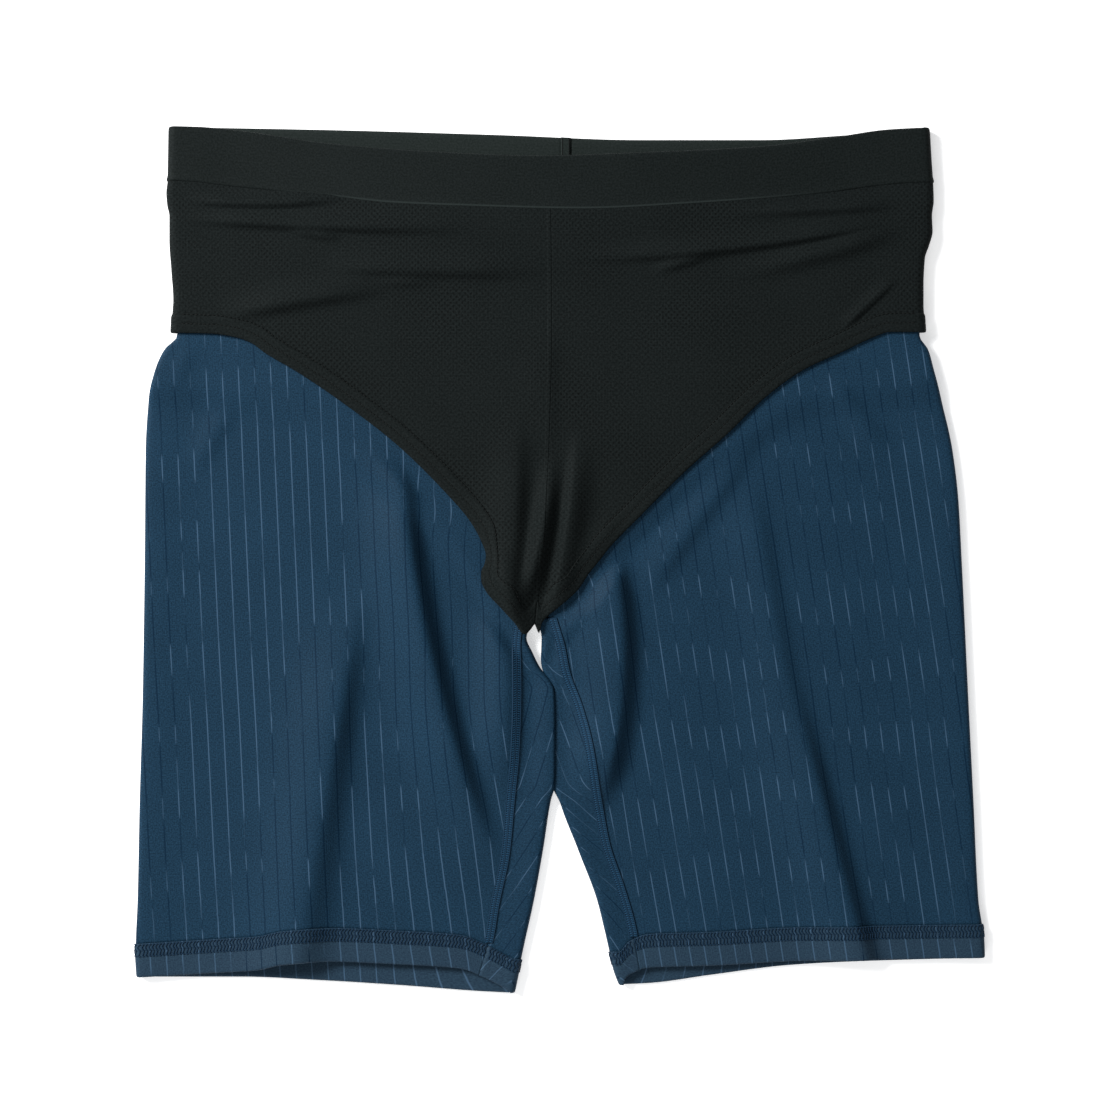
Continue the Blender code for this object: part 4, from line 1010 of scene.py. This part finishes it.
def brief_front(side):
    """Half of the brief's front, its turned edge and the two rows of stitches on that."""
    grid = brief_grid(side, brief_lines(side, 120), BRIEF_WALL, 0)
    name = f"mesh_front_{side.name}"
    panel = cloth(name, grid, BRIEF_WALL, mesh_knit)
    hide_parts(f"brief_front_{side.name}")
    lines = np.array([inside_edge(side, BRIEF_SHARES, d) for d in EDGE_DEPTHS])
    edge = brief_grid(side, lines, EDGE_WALL, EDGE_WALL - BRIEF_WALL)
    # The row of the outer stitches is thinner, so that they lie in a groove
    wall = np.full((len(edge), 1), EDGE_WALL)
    wall[7] *= 0.78
    round_edge = (0.2, 0.55, 0.85)
    turned = cloth(
        f"mesh_edge_{side.name}", edge, wall, mesh_edge,
        first=round_edge, last=round_edge,
    )
    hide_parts(f"brief_edge_{side.name}")
    # The stitches run from the side fold, and stop short of the tip
    start = edge.shape[1] - len(BRIEF_SHARES) + 1
    columns, rows = [], []
    for depth in EDGE_ROWS:
        row = np.interp(-depth, -EDGE_DEPTHS, np.arange(len(EDGE_DEPTHS)))
        length = travelled(edge[int(row), start:])
        count = int(length[-1] / EDGE_STITCH_PITCH)
        at = (np.arange(count) + 0.5)[:, None] * EDGE_STITCH_PITCH
        at = at + 1.6 * np.linspace(-0.5, 0.5, 5)
        c = start + np.interp(at, length, np.arange(len(length)))
        columns.append(c[c.max(1) < start + 0.94 * len(BRIEF_SHARES)])
        rows.append(np.full_like(columns[-1], row))
    stitch = threads(
        f"edge_stitches_{side.name}", edge, side.sign, np.concatenate(columns),
        np.concatenate(rows), EDGE_WALL / 2 + 0.02, 0.24, black_thread,
    )
    return np.concatenate([grid[:-1], edge[2:]])


def brief_centre(panels):
    """The flat seam between the two halves of the brief's front: the left half's last
    columns carried just over the seam, so that it ends there in a small step."""
    left, right = panels
    over = left[:, -1] * 0.7 + right[:, -2] * 0.3
    grid = np.stack([left[:, -3], left[:, -2], left[:, -1], over], 1)
    wall = BRIEF_WALL + 2 * np.array([-0.1, 0.08, 0.14, 0.12])
    strip = cloth("brief_centre_flat_seam", grid, wall, mesh_knit)
    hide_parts("brief_centre_seam")


def brief_back():
    """The plain back of the brief, flat on the surface."""
    left, right = (curve(s.hip, 150) - s.sign * (SIDE_SEAM_INSET + 0.3) for s in SIDES)
    x = np.linspace(left, right, 160)[None]
    t = np.linspace(0, 1, 60)[:, None]
    low, high = back_edge(x), curve(BAND_TOP_BACK, x) - BAND_DEPTH - 0.3
    y = low + (high - low) * t
    grid = np.stack(np.broadcast_arrays(x, y, BRIEF_WALL / 2), -1)
    back = cloth("mesh_back", grid, BRIEF_WALL, mesh_knit, first=(0.5, 0.9))
    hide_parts("brief_back")


def band():
    """The waistband, a ring cut at the centre back: its front lies on the brief, its sides
    turn over in half ellipses, and its back lies on the surface."""
    rows = np.concatenate(
        [[0, 0.008, 0.03, 0.07], np.linspace(0.12, 0.9, 14), [0.95, 0.98, 0.995, 1]]
    )
    one = rows[:, None]
    ends = []
    for side in SIDES:
        x = np.full_like(rows, side.sign * 200)
        y = curve(WAIST_SEAM_FRONT, x) * (1 - rows) + curve(BAND_TOP_FRONT, x) * rows
        height = LEG_BACK_LIFT + HIP_SIDE + BAND_GAP
        x_fold, radius = side.fold_x(side.hip, y, height, BAND_WALL, -side.sign)
        ends.append((x_fold, np.full_like(x_fold, radius), y))
    (x_left, r_left, y_left), (x_right, r_right, y_right) = ends
    z_side = np.full_like(rows, height - BAND_WALL / 2)
    front_x = span(x_left, (x_right, 200))
    y = curve(WAIST_SEAM_FRONT, front_x) * (1 - one) + curve(BAND_TOP_FRONT, front_x) * one
    left, right = SIDES
    z = np.where(front_x < 0, left.top(front_x, y), right.top(front_x, y))
    z = z + BAND_GAP - BAND_WALL / 2
    z[:, 0], z[:, -1] = z_side, z_side
    front = np.stack([front_x, y, z], -1)
    low = np.full_like(rows, BAND_WALL / 2)
    steps = ARC_STEPS + 2
    fold_left = arc(x_left, z_side, low, r_left, -1, steps, y_left)[:, ::-1]
    fold_right = arc(x_right, z_side, low, r_right, 1, steps, y_right)

    def back(start, stop):
        x = span(start, (stop, 50))
        y = curve(BAND_TOP_BACK, x) - BAND_DEPTH * (1 - one)
        return np.stack([x, y, np.broadcast_to(low[:, None], x.shape)], -1)

    middle = np.full_like(rows, CENTRE_BACK_X)
    back_left, back_right = back(middle - 0.1, x_left), back(x_right, middle + 0.1)
    grid = np.concatenate([back_left, fold_left, front, fold_right, back_right], 1)
    uv = np.stack(np.broadcast_arrays(travelled(grid[10])[None], one * BAND_DEPTH), -1)
    ring = cloth(
        "elastic_waistband", grid, BAND_WALL, elastic, uv,
        first=(0.8, 1.2, 1.45, 1.2), last=(0.1, 0.45, 0.75, 0.95),
    )
    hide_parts("waistband")
    x = CENTRE_BACK_X + np.linspace(-0.5, 0.5, 7) * BAND_SEAM
    y = curve(BAND_TOP_BACK, x) - BAND_DEPTH * (1 - np.linspace(0, 1, 24)[:, None])
    seam = np.stack(np.broadcast_arrays(x, y, BAND_WALL + 0.35), -1)
    wall = 0.7 * np.array([0.3, 0.9, 1, 0.8, 1, 0.9, 0.3])
    strip = cloth("waistband_centre_back_seam", seam, wall, elastic)
    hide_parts("waistband_back_seam")
    c, r = np.array([[1], [5]]), np.linspace(0, 23, 60)[None]
    threads("waistband_seam_stitches", seam, 1, c, r, 0.36, 0.25, black_thread)


def stage_and_camera():
    """A white floor just under the garment, one wide soft light from the upper left, a
    weaker one from below in the picture, a weak fill from all round, and the camera
    straight above."""
    mesh = bpy.data.meshes.new("floor")
    size, level = 3, -0.0005
    corners = [(x * size, y * size, level) for x, y in ((-1, -1), (1, -1), (1, 1), (-1, 1))]
    mesh.from_pydata(corners, [], [(0, 1, 2, 3)])
    mesh.materials.append(matt_paper("matt_white_paper"))
    placed("floor", mesh)
    for name, place, width, power in (
        ("soft_window", (-1.55, 0.98, 1.3), 0.8, 82),
        ("soft_fill", (-0.4, -1.7, 1.2), 1, 15),
    ):
        lamp = bpy.data.lights.new(name, "AREA")
        lamp.size, lamp.energy = width, power
        light = placed(name, lamp)
        light.location = place
        light.rotation_mode = "QUATERNION"
        light.rotation_quaternion = Vector(place).to_track_quat("Z", "Y")
    world = bpy.data.worlds.new("studio")
    world.use_nodes = True
    colour, strength = world.node_tree.nodes["Background"].inputs[:2]
    colour.default_value = linear("#F2F4F7")
    strength.default_value = 0.28
    bpy.context.scene.world = world
    camera = bpy.data.cameras.new("camera")
    camera.sensor_width = 36
    camera.lens = camera.sensor_width * VIEW_DISTANCE / VIEW_WIDTH
    eye = placed("camera", camera)
    eye.location = (0, 0, (VIEW_DISTANCE + VIEW_PLANE) * MM)
    bpy.context.scene.camera = eye
    bpy.context.scene.view_settings.view_transform = "Standard"


SIDES = (Side(-1), Side(1))
stage_and_camera()
brief_back()
panels = []
for half_garment in SIDES:
    legs_and_hems(half_garment)
    panels.append(brief_front(half_garment))
brief_centre(panels)
band()
